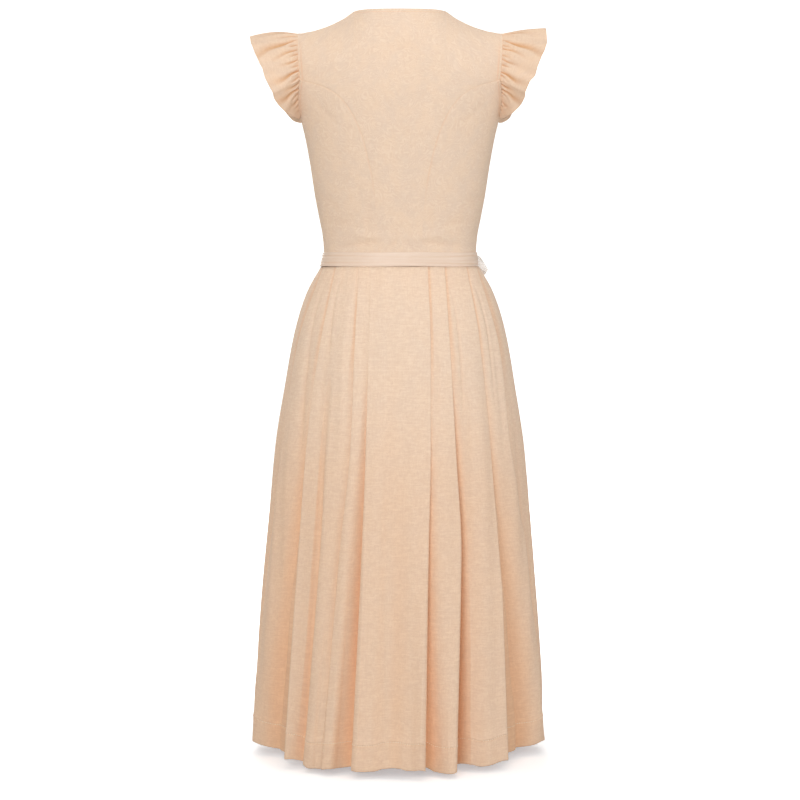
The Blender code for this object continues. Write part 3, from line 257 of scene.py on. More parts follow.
SKIRT_CREASES = [Crease(*row) for row in (
    (41, -0.408, 35.4, -0.65, 0.0024, -0.002), (-62, -0.408, -56, -0.7, 0.0034, -0.0022),
    (61, -0.41, 56, -0.64, 0.0034, -0.002), (-51, -0.408, -43, -0.56, 0.003, -0.0016),
    (-3, -0.44, -5.5, -0.9, 0.012, -0.0016), (4, -0.56, 5, -1.172, 0.01, -0.0032),
    (-9.5, -0.47, -8, -1.172, 0.007, -0.0014), (11, -0.8, 7, -1.172, 0.006, 0.0016),
    (27, -0.43, 20, -0.7, 0.007, -0.0016), (40, -0.45, 36, -0.98, 0.01, -0.0024),
    (52, -0.5, 50.5, -0.9, 0.015, -0.005), (26.5, -0.7, 21.5, -1.15, 0.011, -0.0034),
    (63, -0.43, 58, -0.72, 0.008, -0.002), (72, -0.56, 70, -1.12, 0.011, -0.0026),
    (-27, -0.43, -20, -0.64, 0.006, -0.0014), (-38, -0.425, -31, -0.7, 0.007, 0.0014),
    (-47, -0.43, -42, -0.86, 0.008, -0.0024), (-58, -0.43, -55, -0.9, 0.009, -0.0026),
    (-66, -0.45, -62, -1.172, 0.01, 0.0024), (-78, -0.44, -74, -1, 0.009, -0.0022),
    (84, -0.43, 88, -0.9, 0.009, -0.0018), (-86, -0.43, -92, -1.05, 0.01, -0.002),
    (176, -0.45, 175, -1, 0.012, -0.0018), (-174, -0.56, -173, -1.172, 0.01, -0.002),
    (150, -0.43, 157, -0.76, 0.008, -0.0018), (132, -0.44, 139, -0.94, 0.009, -0.0022),
    (112, -0.44, 120, -1.08, 0.009, -0.0022), (-148, -0.43, -156, -0.8, 0.008, -0.0018),
    (-130, -0.45, -138, -1, 0.009, -0.002), (-110, -0.44, -121, -0.88, 0.0085, -0.0022),
)]

# Cut of what shows of each piece: width and length of the cloth before sewing, and its area
CUTS = {
    "bodice_back": (0.33, 0.425, 0.08),
    "side_back": (0.19, 0.3, 0.033),
    "side_front": (0.2, 0.29, 0.033),
    "front": (0.13, 0.44, 0.042),
    "ruffle": (0.43, 0.075, 0.024),
    "skirt_back": (1, 0.8, 0.7),
    "skirt_front": (1, 0.8, 0.7),
    "belt": (0.7, 0.022, 0.0152),
    "bow_loop_front": (0.025, 0.1, 0.0022),
    "bow_loop_side": (0.025, 0.078, 0.0018),
    "bow_tail": (0.025, 0.25, 0.0055),
}


# Curves

def cubic(t, low, high, grade_low, grade_high):
    """From low to high as t goes from 0 to 1: the cubic with the given slopes at its two ends."""
    return ((1 + 2 * t) * (1 - t) ** 2 * low + t * (1 - t) ** 2 * grade_low
            + t * t * (3 - 2 * t) * high - t * t * (1 - t) * grade_high)


def calm_slopes(slope, step):
    """The slopes where straight steps meet: their weighted harmonic mean, or 0 at a turn, so that
    the cubics between them never overshoot."""
    before, after = slope[:-1], slope[1:]
    same = before * after > 0
    early, late = 2 * step[1:] + step[:-1], step[1:] + 2 * step[:-1]
    safe = np.where(same, early * after + late * before, 1.0)
    return np.where(same, (early + late) * before * after / safe, 0.0)


def smooth_through(knots, values):
    """A function through uneven knots that never overshoots them, as in the solids. Each value may
    be a row of numbers."""
    x, y = np.asarray(knots, float), np.asarray(values, float)
    if x[0] > x[-1]:
        x, y = x[::-1], y[::-1]
    spare = (1,) * (y.ndim - 1)
    step = np.diff(x).reshape((-1,) + spare)
    slope = np.diff(y, axis=0) / step
    grade = np.concatenate([slope[:1], calm_slopes(slope, step), slope[-1:]])

    def curve(at):
        at = np.clip(np.asarray(at, float), x[0], x[-1])
        i = np.clip(np.searchsorted(x, at) - 1, 0, len(step) - 1)
        t = (at - x[i]).reshape(at.shape + spare) / step[i]
        return cubic(t, y[i], y[i + 1], step[i] * grade[i], step[i] * grade[i + 1])

    return curve


def smooth_rows(values, at):
    """Rows of a table at fractional row numbers."""
    return smooth_through(np.arange(len(values)), values)(at)


def curves(table):
    """A smooth function of a table's first column for each of its other columns."""
    return [smooth_through(table[:, 0], column) for column in table[:, 1:].T]


body_width, body_back, body_front = curves(BODY)
ridge_height, = curves(RIDGE)
skirt_sizes = curves(SKIRT)
ruffle_width, ruffle_drop, ruffle_sweep = curves(RUFFLE)
hem_rise, = curves(HEM_RISE)
side_seam_degrees = smooth_through(PLEAT_Z, SIDE_SEAM_DEG)


def soft_step(t):
    """0 below 0, 1 above 1, and smooth between."""
    t = np.clip(t, 0.0, 1.0)
    return t * t * (3 - 2 * t)


def bell(t):
    """1 at 0, falling smoothly to nothing about 2.5 away: exp(-t squared)."""
    return np.exp(-np.square(t))


def unit(v):
    return v / np.maximum(np.linalg.norm(v, axis=-1, keepdims=True), 1e-12)


def circle_turns(count):
    """Even angles round a whole turn."""
    return np.arange(count) / count * 2 * math.pi


# The body's form

def rounding(run):
    """Drop below the shoulder's top, and share of full depth, at a run along the cloth: a quarter
    circle and then straight down."""
    turn = np.clip(run / SHOULDER_ROUND, -math.pi / 2, math.pi / 2)
    beyond = np.maximum(np.abs(run) - SHOULDER_ROUND * math.pi / 2, 0.0)
    return SHOULDER_ROUND * (1 - np.cos(turn)) + beyond, np.sin(turn)


def run_of(x, z):
    """The run along the cloth from the shoulder's top that reaches height z."""
    drop = np.maximum(ridge_height(np.abs(x)) - z, 0.0)
    curved = SHOULDER_ROUND * np.arccos(np.clip(1 - drop / SHOULDER_ROUND, -1.0, 1.0))
    straight = drop - SHOULDER_ROUND + SHOULDER_ROUND * math.pi / 2
    return np.where(drop < SHOULDER_ROUND, curved, straight)


def body_points(x, z, side, share):
    """Points at x and height z, at a share of the body's half depth: the back's, or the front's
    with the cups' two bells."""
    if side > 0:
        deep = body_back(z)
    else:
        across, up = (np.abs(x) - BUST_X) / BUST_WIDTH, (z - BUST_Z) / BUST_HEIGHT
        deep = body_front(z) + BUST_RISE * np.exp(-across ** 2 - up ** 2)
    return np.stack([x, side * deep * share, z], axis=-1)


def body_at(x, run, side):
    """Points of the body at x and a run from the shoulder's top: a superellipse at each height."""
    drop, share = rounding(run)
    z = ridge_height(np.abs(x)) - drop
    fraction = np.clip(np.abs(x) / body_width(z), 0.0, 1.0)
    return body_points(x, z, side, (1 - fraction ** SECTION_POWER) ** (1 / SECTION_POWER) * share)


def body_round(angle, z, side):
    """Points of the body at an angle from its centre line, for the panels that turn the side."""
    x = body_width(z) * np.sin(angle) ** (2 / SECTION_POWER)
    drop = np.clip((ridge_height(x) - z) / SHOULDER_ROUND, 0.0, 1.0)
    bend = np.maximum(np.cos(angle), 0.0) ** (2 / SECTION_POWER)
    return body_points(x, z, side, bend * np.sqrt(1 - (1 - drop) ** 2))


def angle_of(x, z):
    """The angle at which body_round reaches x."""
    return np.arcsin(np.clip(x / body_width(z), 0.0, 1.0) ** (SECTION_POWER / 2))


def edge_rows(marks, rows):
    """Fractional row numbers of a fine grid, closer at the shoulder, and its edge at them: two
    smooth stretches that meet at the armhole's corner. The last result is the corner's row."""
    corner = ARMHOLE_CORNER
    top = np.linspace(0, 1, rows // 8) ** 2
    first = np.concatenate([top[:-1], np.linspace(1, corner, rows // 5)])
    second = np.linspace(corner, len(marks) - 1, rows - len(first))
    line = [smooth_rows(marks[:corner + 1], first),
            smooth_rows(marks[corner:], second - corner)[1:]]
    return np.concatenate([first, second[1:]]), np.concatenate(line).T, len(first) - 1


# Grids

def around_of(points):
    """Angle of every point round from the centre back, to the wearer's right."""
    return np.arctan2(-points[..., 0], points[..., 1])


def distance_to(points, line):
    """Distance of every point to a line of straight pieces, the least over all its pieces."""
    flat = points.reshape(-1, 1, 3)
    start, way = line[:-1], np.diff(line, axis=0)
    size = np.maximum(np.sum(way * way, axis=-1), 1e-14)
    share = np.clip(np.sum((flat - start) * way, axis=-1) / size, 0.0, 1.0)
    near = np.linalg.norm(flat - start - share[..., None] * way, axis=-1)
    return near.min(axis=1).reshape(points.shape[:-1])


def creases(points, table):
    """Height of the soft creases at every point: for each, its depth times a bell across its line
    and a rise and fall along it, or a rise alone where it runs out at the hem. Places along a
    level crease go by angle, and along any other by height."""
    degrees, z = np.degrees(around_of(points)), points[..., 2]
    radius = np.hypot(points[..., 0], points[..., 1])
    total = np.zeros(z.shape)
    for c in table:
        tall, turned = c.z_b - c.z_a, c.deg_b - c.deg_a
        if abs(tall) < LEVEL_CREASE:
            share = ((degrees - c.deg_a + 180) % 360 - 180) / turned
        else:
            share = (z - c.z_a) / tall
        share = np.clip(share, -PAST_CREASE, 1 + PAST_CREASE)
        if abs(tall) < LEVEL_CREASE:
            off = z - (c.z_a + tall * share)
        else:
            off = np.radians((degrees - (c.deg_a + turned * share) + 180) % 360 - 180) * radius
        end = np.pi if c.z_b > HEM_Z else np.pi / 2
        total += c.depth * np.sin(end * np.clip(share, 0, 1)) ** 0.7 * bell(off / c.width)
    return total


def grid_normals(points, outward, closed=False):
    """Unit normals of a grid: the cross product of its two gradients, turned outwards."""
    if closed:
        wide = np.concatenate([points[:, -1:], points, points[:, :1]], axis=1)
        across = np.gradient(wide, axis=1)[:, 1:-1]
    else:
        across = np.gradient(points, axis=1)
    n = unit(np.cross(np.gradient(points, axis=0), across))
    return n * (np.sign(np.sum(n * outward)) or 1.0)


def edge_lengths(points, axis):
    """Length along a grid's rows or columns from its first point."""
    step = np.linalg.norm(np.diff(points, axis=axis), axis=-1)
    start = np.zeros_like(np.take(step, [0], axis=axis))
    return np.cumsum(np.concatenate([start, step], axis=axis), axis=axis)


def cloth_map(points):
    """Places on the cloth in metres: along each row from its middle, and down the middle column."""
    u = edge_lengths(points, 1)
    middle = u.shape[1] // 2
    v = np.repeat(edge_lengths(points, 0)[:, middle:middle + 1], u.shape[1], axis=1)
    return np.stack([u - u[:, middle:middle + 1], -v], axis=-1)


def along_line(line, share):
    """Points at shares of a line's length."""
    length = edge_lengths(line, 0)
    return np.stack([np.interp(share * length[-1], length, line[:, k]) for k in range(3)], axis=-1)


# Meshes

def quads(rows, cols, closed=False):
    """Corner numbers of a grid's faces."""
    i, j = np.meshgrid(np.arange(rows - 1), np.arange(cols if closed else cols - 1), indexing="ij")
    k = (j + 1) % cols
    corners = [i * cols + j, i * cols + k, (i + 1) * cols + k, (i + 1) * cols + j]
    return np.stack(corners, -1).reshape(-1, 4)


def mesh_from(name, points, faces, places, finish, folds=None):
    """A smooth object of four-cornered faces, with its place on the cloth as its UV map and how
    much painted shade each point takes as the attribute fold."""
    mesh = bpy.data.meshes.new(name)
    mesh.vertices.add(len(points))
    mesh.vertices.foreach_set("co", np.asarray(points, np.float32).ravel())
    mesh.loops.add(faces.size)
    mesh.loops.foreach_set("vertex_index", faces.ravel().astype(np.int32))
    mesh.polygons.add(len(faces))
    mesh.polygons.foreach_set("loop_start", np.arange(len(faces), dtype=np.int32) * 4)
    mesh.polygons.foreach_set("loop_total", np.full(len(faces), 4, dtype=np.int32))
    layer = mesh.uv_layers.new(name="cloth")
    layer.data.foreach_set("uv", np.asarray(places, np.float32)[faces.ravel()].ravel())
    depth = mesh.attributes.new("fold", "FLOAT", "POINT")
    folds = np.zeros(len(points)) if folds is None else folds
    depth.data.foreach_set("value", np.asarray(folds, np.float32))
    mesh.update(calc_edges=True)
    mesh.validate()
    mesh.shade_smooth()
    mesh.materials.append(finish)
    piece = bpy.data.objects.new(name, mesh)
    bpy.context.scene.collection.objects.link(piece)
    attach(piece, "root")
    return piece


def layered(grid, normal, places, folds):
    """One array of a grid's points, normals, places on the cloth and shares of painted shade."""
    return np.concatenate([grid, normal, places, folds[..., None]], axis=-1)


def unlayered(layers):
    return layers[..., :3], layers[..., 3:6], layers[..., 6:8], layers[..., 8]


def close_rows(layers, steps, most):
    """Rows to stand for a grid's first one: at steps in metres towards the second row, but no
    further than the share most of the way."""
    first, second = layers[:1], layers[1:2]
    size = np.linalg.norm((second - first)[..., :3], axis=-1, keepdims=True)
    share = np.minimum(np.reshape(steps, (-1, 1, 1)) / np.maximum(size, 1e-9), most)
    return first * (1 - share) + second * share


def bordered(layers, closed):
    """A grid with one more row or column close beside every free edge, so that the shading turns
    over the edge in a narrow strip."""
    for axis in (0,) if closed else (0, 1):
        layers = np.swapaxes(layers, 0, axis)
        for _ in range(2):
            layers = np.concatenate([close_rows(layers, (0.0, BORDER), 0.5), layers[1:]])[::-1]
        layers = np.swapaxes(layers, 0, axis)
    return layers


def shell(name, middle, normal, thickness, places, finish, folds=None, closed=False, border=True):
    """A closed thin shell: the middle grid moved out and in by half of its thickness, and a
    rounded rim between the two along every free edge."""
    folds = np.zeros(middle.shape[:2]) if folds is None else folds
    if border:
        layers = bordered(layered(middle, normal, places, folds), closed)
        middle, normal, places, folds = unlayered(layers)
    rows, cols = middle.shape[:2]
    count = rows * cols
    points = [(middle + normal * thickness / 2 * way).reshape(-1, 3) for way in (1, -1)]
    faces = [quads(rows, cols, closed), quads(rows, cols, closed)[:, ::-1] + count]
    top, bottom = np.arange(cols), (rows - 1) * cols + np.arange(cols)
    if closed:
        loops = [np.append(top, top[0]), np.append(bottom, bottom[0])[::-1]]
    else:
        left, right = np.arange(rows) * cols, np.arange(rows) * cols + cols - 1
        loops = [np.concatenate([top, right[1:], bottom[::-1][1:], left[::-1][1:]])]
    faces += [np.stack([a[1:], a[:-1], a[:-1] + count, a[1:] + count], -1) for a in loops]
    faces = np.concatenate(faces)
    a, b, c = middle[0, 0], middle[0, 1], middle[1, 0]
    if np.dot(np.cross(b - a, c - a), normal[0, 0]) < 0:
        faces = faces[:, ::-1]
    return mesh_from(name, np.concatenate(points), faces, np.tile(places.reshape(-1, 2), (2, 1)),
                     finish, np.tile(folds.ravel(), 2))


def tubes(starts, ends, bulge, radius, sides=6, rings=5):
    """Points and faces of many short closed threads, each an ellipse swept from start to end with
    a rise in its middle and tapered tips."""
    t = np.linspace(0, 1, rings)
    cross, lift = unit(np.cross(unit(ends - starts), bulge)), unit(bulge)
    taper = np.sin(np.pi * np.clip(t, 0.06, 0.94)) ** 0.4
    t, turn = t[:, None], circle_turns(sides)[:, None]
    centre = starts[:, None] * (1 - t) + ends[:, None] * t + bulge[:, None] * np.sin(np.pi * t)
    ring = cross[:, None] * np.cos(turn) + lift[:, None] * np.sin(turn)
    points = centre[:, :, None] + ring[:, None] * radius * taper[:, None, None]
    caps = [[0, sides - 1, 2, 1], [2, sides - 1, sides - 2, 3]]
    far = [[f + (rings - 1) * sides for f in reversed(face)] for face in caps]
    one = np.concatenate([quads(rings, sides, closed=True), caps, far])
    faces = one + np.arange(len(starts))[:, None, None] * rings * sides
    return points.reshape(-1, 3), faces.reshape(-1, 4)


# Materials

class Value:
    """A number socket. Python's operators on it add Math nodes."""

    def __init__(self, finish, socket):
        self.finish, self.socket = finish, socket

    def math(self, operation, *others):
        sockets = dict(enumerate((self, *others)))
        node = self.finish.node("ShaderNodeMath", {"operation": operation}, sockets)
        return Value(self.finish, node.outputs[0])

    def __add__(self, other):
        return self.math("ADD", other)

    def __sub__(self, other):
        return self.math("SUBTRACT", other)

    def __rsub__(self, other):
        return self.math("MULTIPLY", -1.0).math("ADD", other)

    def __mul__(self, other):
        return self.math("MULTIPLY", other)

    __radd__, __rmul__ = __add__, __mul__

    def sine(self):
        return self.math("SINE")

    def ramp(self, low, high):
        """0 below low, 1 above high, smooth between."""
        node = self.finish.node("ShaderNodeMapRange", {"interpolation_type": "SMOOTHSTEP"},
                                {"Value": self, "From Min": low, "From Max": high})
        return Value(self.finish, node.outputs[0])


class Finish:
    """A node material. One method makes every node: its type, its settings, then its sockets."""

    def __init__(self, name):
        self.material = bpy.data.materials.new(name)
        self.material.use_nodes = True
        self.tree = self.material.node_tree
        self.shader = self.tree.nodes["Principled BSDF"]

    def node(self, kind, settings=None, sockets=None):
        made = self.tree.nodes.new(kind)
        for key, value in (settings or {}).items():
            setattr(made, key, value)
        for key, value in (sockets or {}).items():
            self.feed(made.inputs[key], value)
        return made

    def feed(self, socket, value):
        """Links a socket or sets its value."""
        source = getattr(value, "socket", value)
        if isinstance(source, bpy.types.NodeSocket):
            self.tree.links.new(source, socket)
        else:
            socket.default_value = source

    def set(self, **values):
        for name, value in values.items():
            self.feed(self.shader.inputs[name.replace("_", " ")], value)

    def fold(self):
        """How much painted shade the cloth takes: its fold attribute."""
        return self.node("ShaderNodeAttribute", {"attribute_name": "fold"}).outputs["Fac"]

    def place(self, across, along):
        """The cloth's UV place, scaled by two sizes in metres."""
        uv = self.node("ShaderNodeUVMap", {"uv_map": "cloth"})
        sockets = {"Vector": uv.outputs[0], "Scale": (1 / across, 1 / along, 1.0)}
        return self.node("ShaderNodeMapping", {}, sockets).outputs[0]

    def along(self, axis, size=1.0):
        """One number of the cloth's UV place, in units of a size in metres."""
        place = self.node("ShaderNodeSeparateXYZ", {}, {0: self.place(size, size)})
        return Value(self, place.outputs[axis])

    def threads(self, pitch, axis):
        """The threads' rise and fall across the cloth: a sine of one number of the UV place."""
        return self.along(axis, pitch / (2 * math.pi)).sine()

    def noise(self, vector, detail=2.0, rough=0.5, warp=0.0):
        sockets = {"Vector": vector, "Scale": 1.0, "Detail": detail, "Roughness": rough,
                   "Distortion": warp}
        return Value(self, self.node("ShaderNodeTexNoise", {}, sockets).outputs[0])

    def mix(self, factor, low, high, blend="MIX"):
        """One colour laid over another by a factor."""
        node = self.node("ShaderNodeMix", {"data_type": "RGBA", "blend_type": blend},
                         {0: factor, 6: low, 7: high})
        return node.outputs[2]

    def bump(self, height, distance, strength):
        sockets = {"Height": height, "Distance": distance, "Strength": strength}
        return self.node("ShaderNodeBump", {}, sockets).outputs[0]


def opaque(colour):
    return tuple(colour[:3]) + (1.0,)


def shade(colour, factor):
    """A colour with each channel raised to a power, so that a darker shade is also warmer."""
    return opaque([c ** factor for c in colour[:3]])


def scaled(colour, *factors):
    """A colour with its channels multiplied, none of them past 1."""
    return opaque([min(c * k, 1.0) for c, k in zip(colour, factors)])


def peach_cloth(name, colour, deep, figure, slub):
    """Woven cloth: crossing slubs in two sizes, flecks, slow clouds between a greyer and a warmer
    shade, a faint scroll figure, fine threads, and painted warm shade in folds, tinted by deep.
    figure and slub are the strengths of the scrolls and of the uneven threads."""
    f = Finish(name)
    fold = f.fold()
    weft = f.noise(f.place(0.0100, 0.0020), 2.5, 0.6)
    warp = f.noise(f.place(0.0020, 0.0085), 2.5, 0.6)
    bold = f.noise(f.place(0.0170, 0.0042), 1.5) * 0.6 + f.noise(f.place(0.0040, 0.0150), 1.5) * 0.4
    tone = (weft * 0.34 + warp * 0.24 + bold * 0.42).ramp(0.37, 0.63)
    fleck = f.noise(f.place(0.0042, 0.0028), 1.5, 0.6).ramp(0.57, 0.70)
    cloud = f.noise(f.place(0.034, 0.046), 3.0, 0.6).ramp(0.34, 0.66)
    bend = f.noise(f.place(0.030, 0.026), 1.5, 0.5, 1.6)
    wave = (bend * 72.0).sine() * 0.5 + 0.5
    broken = f.noise(f.place(0.009, 0.009), 1.0).ramp(0.34, 0.60)
    scroll = wave.ramp(0.50, 0.90) * broken
    between = (1 - wave).ramp(0.55, 0.95) * broken
    base = f.mix(cloud, scaled(colour, 1.020, 1.000, 0.960), scaled(colour, 0.935, 0.945, 0.970))
    for amount, shades in (
            (tone * slub, (1.045, 1.065, 1.075)), ((1 - tone) * slub, (0.935, 0.905, 0.890)),
            (fleck * slub * 0.5, (0.870, 0.830, 0.810)), (scroll * figure, (1.060, 1.090, 1.110)),
            (between * figure, (0.945, 0.915, 0.900))):
        base = f.mix(amount, base, scaled(colour, *shades))
    # Painted shade: by the fold attribute, the colour is multiplied by the tint deep.
    base = f.mix(fold, base, opaque(deep), "MULTIPLY")
    threads = (f.threads(0.00062, 0) + f.threads(0.00062, 1)) * 0.25 + 0.5
    relief = tone * 0.5 + threads * 0.25 + scroll * -0.18
    f.set(Base_Color=base, Roughness=0.88 - tone * 0.06, Normal=f.bump(relief, 0.00028, 0.6),
          Sheen_Weight=0.06, Sheen_Roughness=0.5, Specular_IOR_Level=0.22)
    return f.material


def satin(name, colour, alpha, gloss, border=None):
    """Ribbon: a lengthwise sheen, partly painted as faint streaks in its colour, and a painted
    warmer shade in its creases. border is how far from the middle a sheer ribbon's denser woven
    edge begins."""
    f = Finish(name)
    sheen_streak = f.noise(f.place(0.030, 0.0009), 2.0, 0.55)
    cloud = f.noise(f.place(0.022, 0.012))
    # Painted sheen: lengthwise streaks darken the colour in bands.
    base = f.mix(sheen_streak.ramp(0.3, 0.7) * 0.5, opaque(colour), shade(colour, 1.22))
    base = f.mix(cloud.ramp(0.35, 0.7) * 0.25, base, shade(colour, 0.8))
    # Painted shade: the creases' fold attribute darkens and warms the colour.
    base = f.mix(f.fold(), base, (0.88, 0.77, 0.66, 1.0), "MULTIPLY")
    if border:
        alpha = f.along(1).math("ABSOLUTE").ramp(border - 0.0006, border) * 0.45 + alpha
    relief = (f.threads(0.0007, 0) * 0.5 + 0.5) * 0.3 + sheen_streak * 0.7
    f.set(Base_Color=base, Roughness=gloss + sheen_streak * 0.12, Normal=f.bump(relief, 0.00012, 0.5),
          Sheen_Weight=0.15, Sheen_Roughness=0.4, Alpha=alpha)
    return f.material


def thread_finish(name, colour):
    """Sewing thread, with its twist as a fine bump."""
    f = Finish(name)
    twist = f.noise(f.place(0.0006, 0.0015), 1.0)
    base = f.mix(twist, scaled(colour, 1.11, 1.26, 1.36), scaled(colour, 1.04, 1.10, 1.12))
    f.set(Base_Color=base, Roughness=0.7, Normal=f.bump(twist, 0.0001, 0.4))
    return f.material


# Bodice

def underarm_rise(share, top):
    """Heights of the armhole's lower part: a quarter wave from the mark at top to the underarm."""
    return UNDERARM_Z + (top - UNDERARM_Z) * (1 - np.sin(share * math.pi / 2))


def armhole_line(side, count=90):
    """Half of the left armhole's edge, from the shoulder tip down to the underarm."""
    marks = np.array(BACK_ARMHOLE if side > 0 else FRONT_ARMHOLE)
    at = np.concatenate([np.linspace(0, 1, count // 4) ** 2,
                         np.linspace(1, len(marks) - 1, count // 3)[1:]])
    x, z = smooth_rows(marks, at).T
    run = run_of(x, z)
    run[0] = 0.0
    t = np.linspace(0, 1, count // 2)
    start = angle_of(*marks[-1])
    low = body_round(start + (math.pi / 2 - start) * t, underarm_rise(t, marks[-1, 1]), side)
    return np.concatenate([body_at(x, run, side)[:-1], low])


def sewn_relief(points, seams, edges, depth):
    """Height of the sewing at every point: a narrow trough along each seam with uneven puckers
    beside it, and along each turned edge a soft roll and the groove of its stitching. Seams are
    pressed flat above the waist. The second result is painted shade in troughs and grooves."""
    relief, fold = np.zeros((2,) + points.shape[:-1])
    along = points @ np.array([61.0, 47.0, 53.0])
    pucker = np.sin(along * 9.7 + 2 * np.sin(along * 2.3)) + 0.6 * np.sin(along * 17.1 + 1.0)
    clear = 1 - 0.98 * soft_step((SEAM_FLAT_Z - points[..., 2]) / 0.07)
    for line in seams:
        away = distance_to(points, line)
        relief -= depth * clear * bell(away / 0.0011)
        # painted shade in the seam's trough
        fold = np.maximum(fold, 0.15 * clear * bell(away / 0.0006))
        relief += 0.00010 * pucker * bell((away - 0.005) / 0.006)
    for line in edges:
        away = distance_to(points, line)
        beside = away - ARMHOLE_STITCH
        relief -= 0.00035 * bell(beside / 0.0011) + 0.00030 * bell(away / 0.0008)
        relief += 0.00012 * pucker * bell(beside / 0.005)
        # painted shade in the stitching's groove
        fold = np.maximum(fold, 0.20 * bell(beside / 0.0009))
    return relief, fold


def finish_panel(middle, outward, seams, edges, depth, count=70):
    """A panel's points with its sewing and soft creases, and the painted shade of each in their
    troughs. The lines of the sewing are thinned to a count of points, their ends kept."""
    thin = [[line[np.unique(np.linspace(0, len(line) - 1, count).astype(int))] for line in lines]
            for lines in (seams, edges)]
    relief, fold = sewn_relief(middle, *thin, depth)
    soft = creases(middle, BODICE_CREASES)
    # painted shade in the creases' troughs
    fold = np.maximum(fold, np.clip(-soft / 0.0014, 0.0, 1.0) * 0.05)
    return middle + grid_normals(middle, outward) * (relief + soft)[..., None], fold


def top_fade(at):
    """1 on a panel's first row, gone TOP_ROWS marks further down."""
    return np.clip(1 - at / TOP_ROWS, 0.0, 1.0)[:, None] ** 2


def centre_back_grid(rows=150, cols=64):
    """The centre back: rows from its armhole and curved seam to the centre line, mirrored. The top
    rows take up the neckline's and the shoulder's curve, and let it go over TOP_ROWS marks."""
    at, (edge_x, edge_z), corner = edge_rows(np.array(BACK_ARMHOLE[:-1] + BACK_SEAM), rows)
    share = np.sort(np.append(np.linspace(0, 1, cols), NECK_HALF / SHOULDER_HALF))
    top_x = share * SHOULDER_HALF
    neck_z = NAPE_Z * (1 - (top_x / NECK_HALF) ** 2)
    top_run = np.where(top_x < NECK_HALF - 1e-9, run_of(top_x, neck_z), 0.0)
    edge_run = run_of(edge_x, edge_z)
    edge_run[0] = 0.0
    centre_run = run_of(np.zeros(len(at)), smooth_rows(CENTRE_BACK_Z, at))
    level = centre_run[:, None] * (1 - share) + edge_run[:, None] * share
    half = body_at(edge_x[:, None] * share, level + (top_run - level[0]) * top_fade(at), 1)
    return half, corner, int(np.argmin(np.abs(top_x - NECK_HALF)))


def side_grid(seam, side, rows=120, cols=56):
    """A side panel between its curved seam and the armhole with the side seam: angles and heights
    run evenly from one edge to the other."""
    last = len(seam) - 1
    at = np.linspace(POINT_CUT, last, rows)
    seam_x, seam_z = smooth_rows(seam, at).T
    start = angle_of(*seam[0])
    t = np.clip(at / UNDERARM_ROWS, 0.0, 1.0)
    outer_angle = start + (math.pi / 2 - start) * t
    levels = np.append(np.linspace(UNDERARM_Z, BELT_TOP_Z, last - UNDERARM_ROWS), WAIST_Z)
    outer_z = np.where(at < UNDERARM_ROWS, underarm_rise(t, seam[0][1]),
                       smooth_rows(levels, at - UNDERARM_ROWS))
    share = np.linspace(0, 1, cols)
    angle = angle_of(seam_x, seam_z)[:, None] * (1 - share) + outer_angle[:, None] * share
    z = seam_z[:, None] * (1 - share) + outer_z[:, None] * share
    return body_round(angle, z, side), int(np.sum(at <= UNDERARM_ROWS))


def lap_lift(from_centre):
    """How far the upper front is lifted over the lower one."""
    return LAP_LIFT * (1 - soft_step((from_centre - LAP_FULL) / (LAP_GONE - LAP_FULL)))


def front_grid(lifted, rows=150, cols=72):
    """A front between its edge, which runs past the centre line, and the armhole with its seam."""
    at, (outer_x, outer_z), corner = edge_rows(np.array(FRONT_ARMHOLE[:-1] + FRONT_SEAM), rows)
    inner_x, inner_z = smooth_rows(FRONT_EDGE, at).T
    width = (outer_x - inner_x)[:, None]
    reach = np.minimum(LAP_COLUMNS[:, 0] / width, LAP_COLUMNS[:, 1])
    share = np.concatenate(
        [reach, reach[:, -1:] + (1 - reach[:, -1:]) * np.linspace(0, 1, 5)[1:]], axis=1)
    share = smooth_rows(share.T, np.linspace(0, share.shape[1] - 1, cols)).T
    x = inner_x[:, None] + width * share
    z = inner_z[:, None] * (1 - share) + outer_z[:, None] * share
    run = run_of(x, z + (ridge_height(x[0]) - z[0]) * top_fade(at))
    run[0] = 0.0
    middle = body_at(x, run, -1)
    if lifted:
        middle = middle + grid_normals(middle, FRONT_WAY) * lap_lift(x)[..., None]
    return middle, corner


# Ruffles

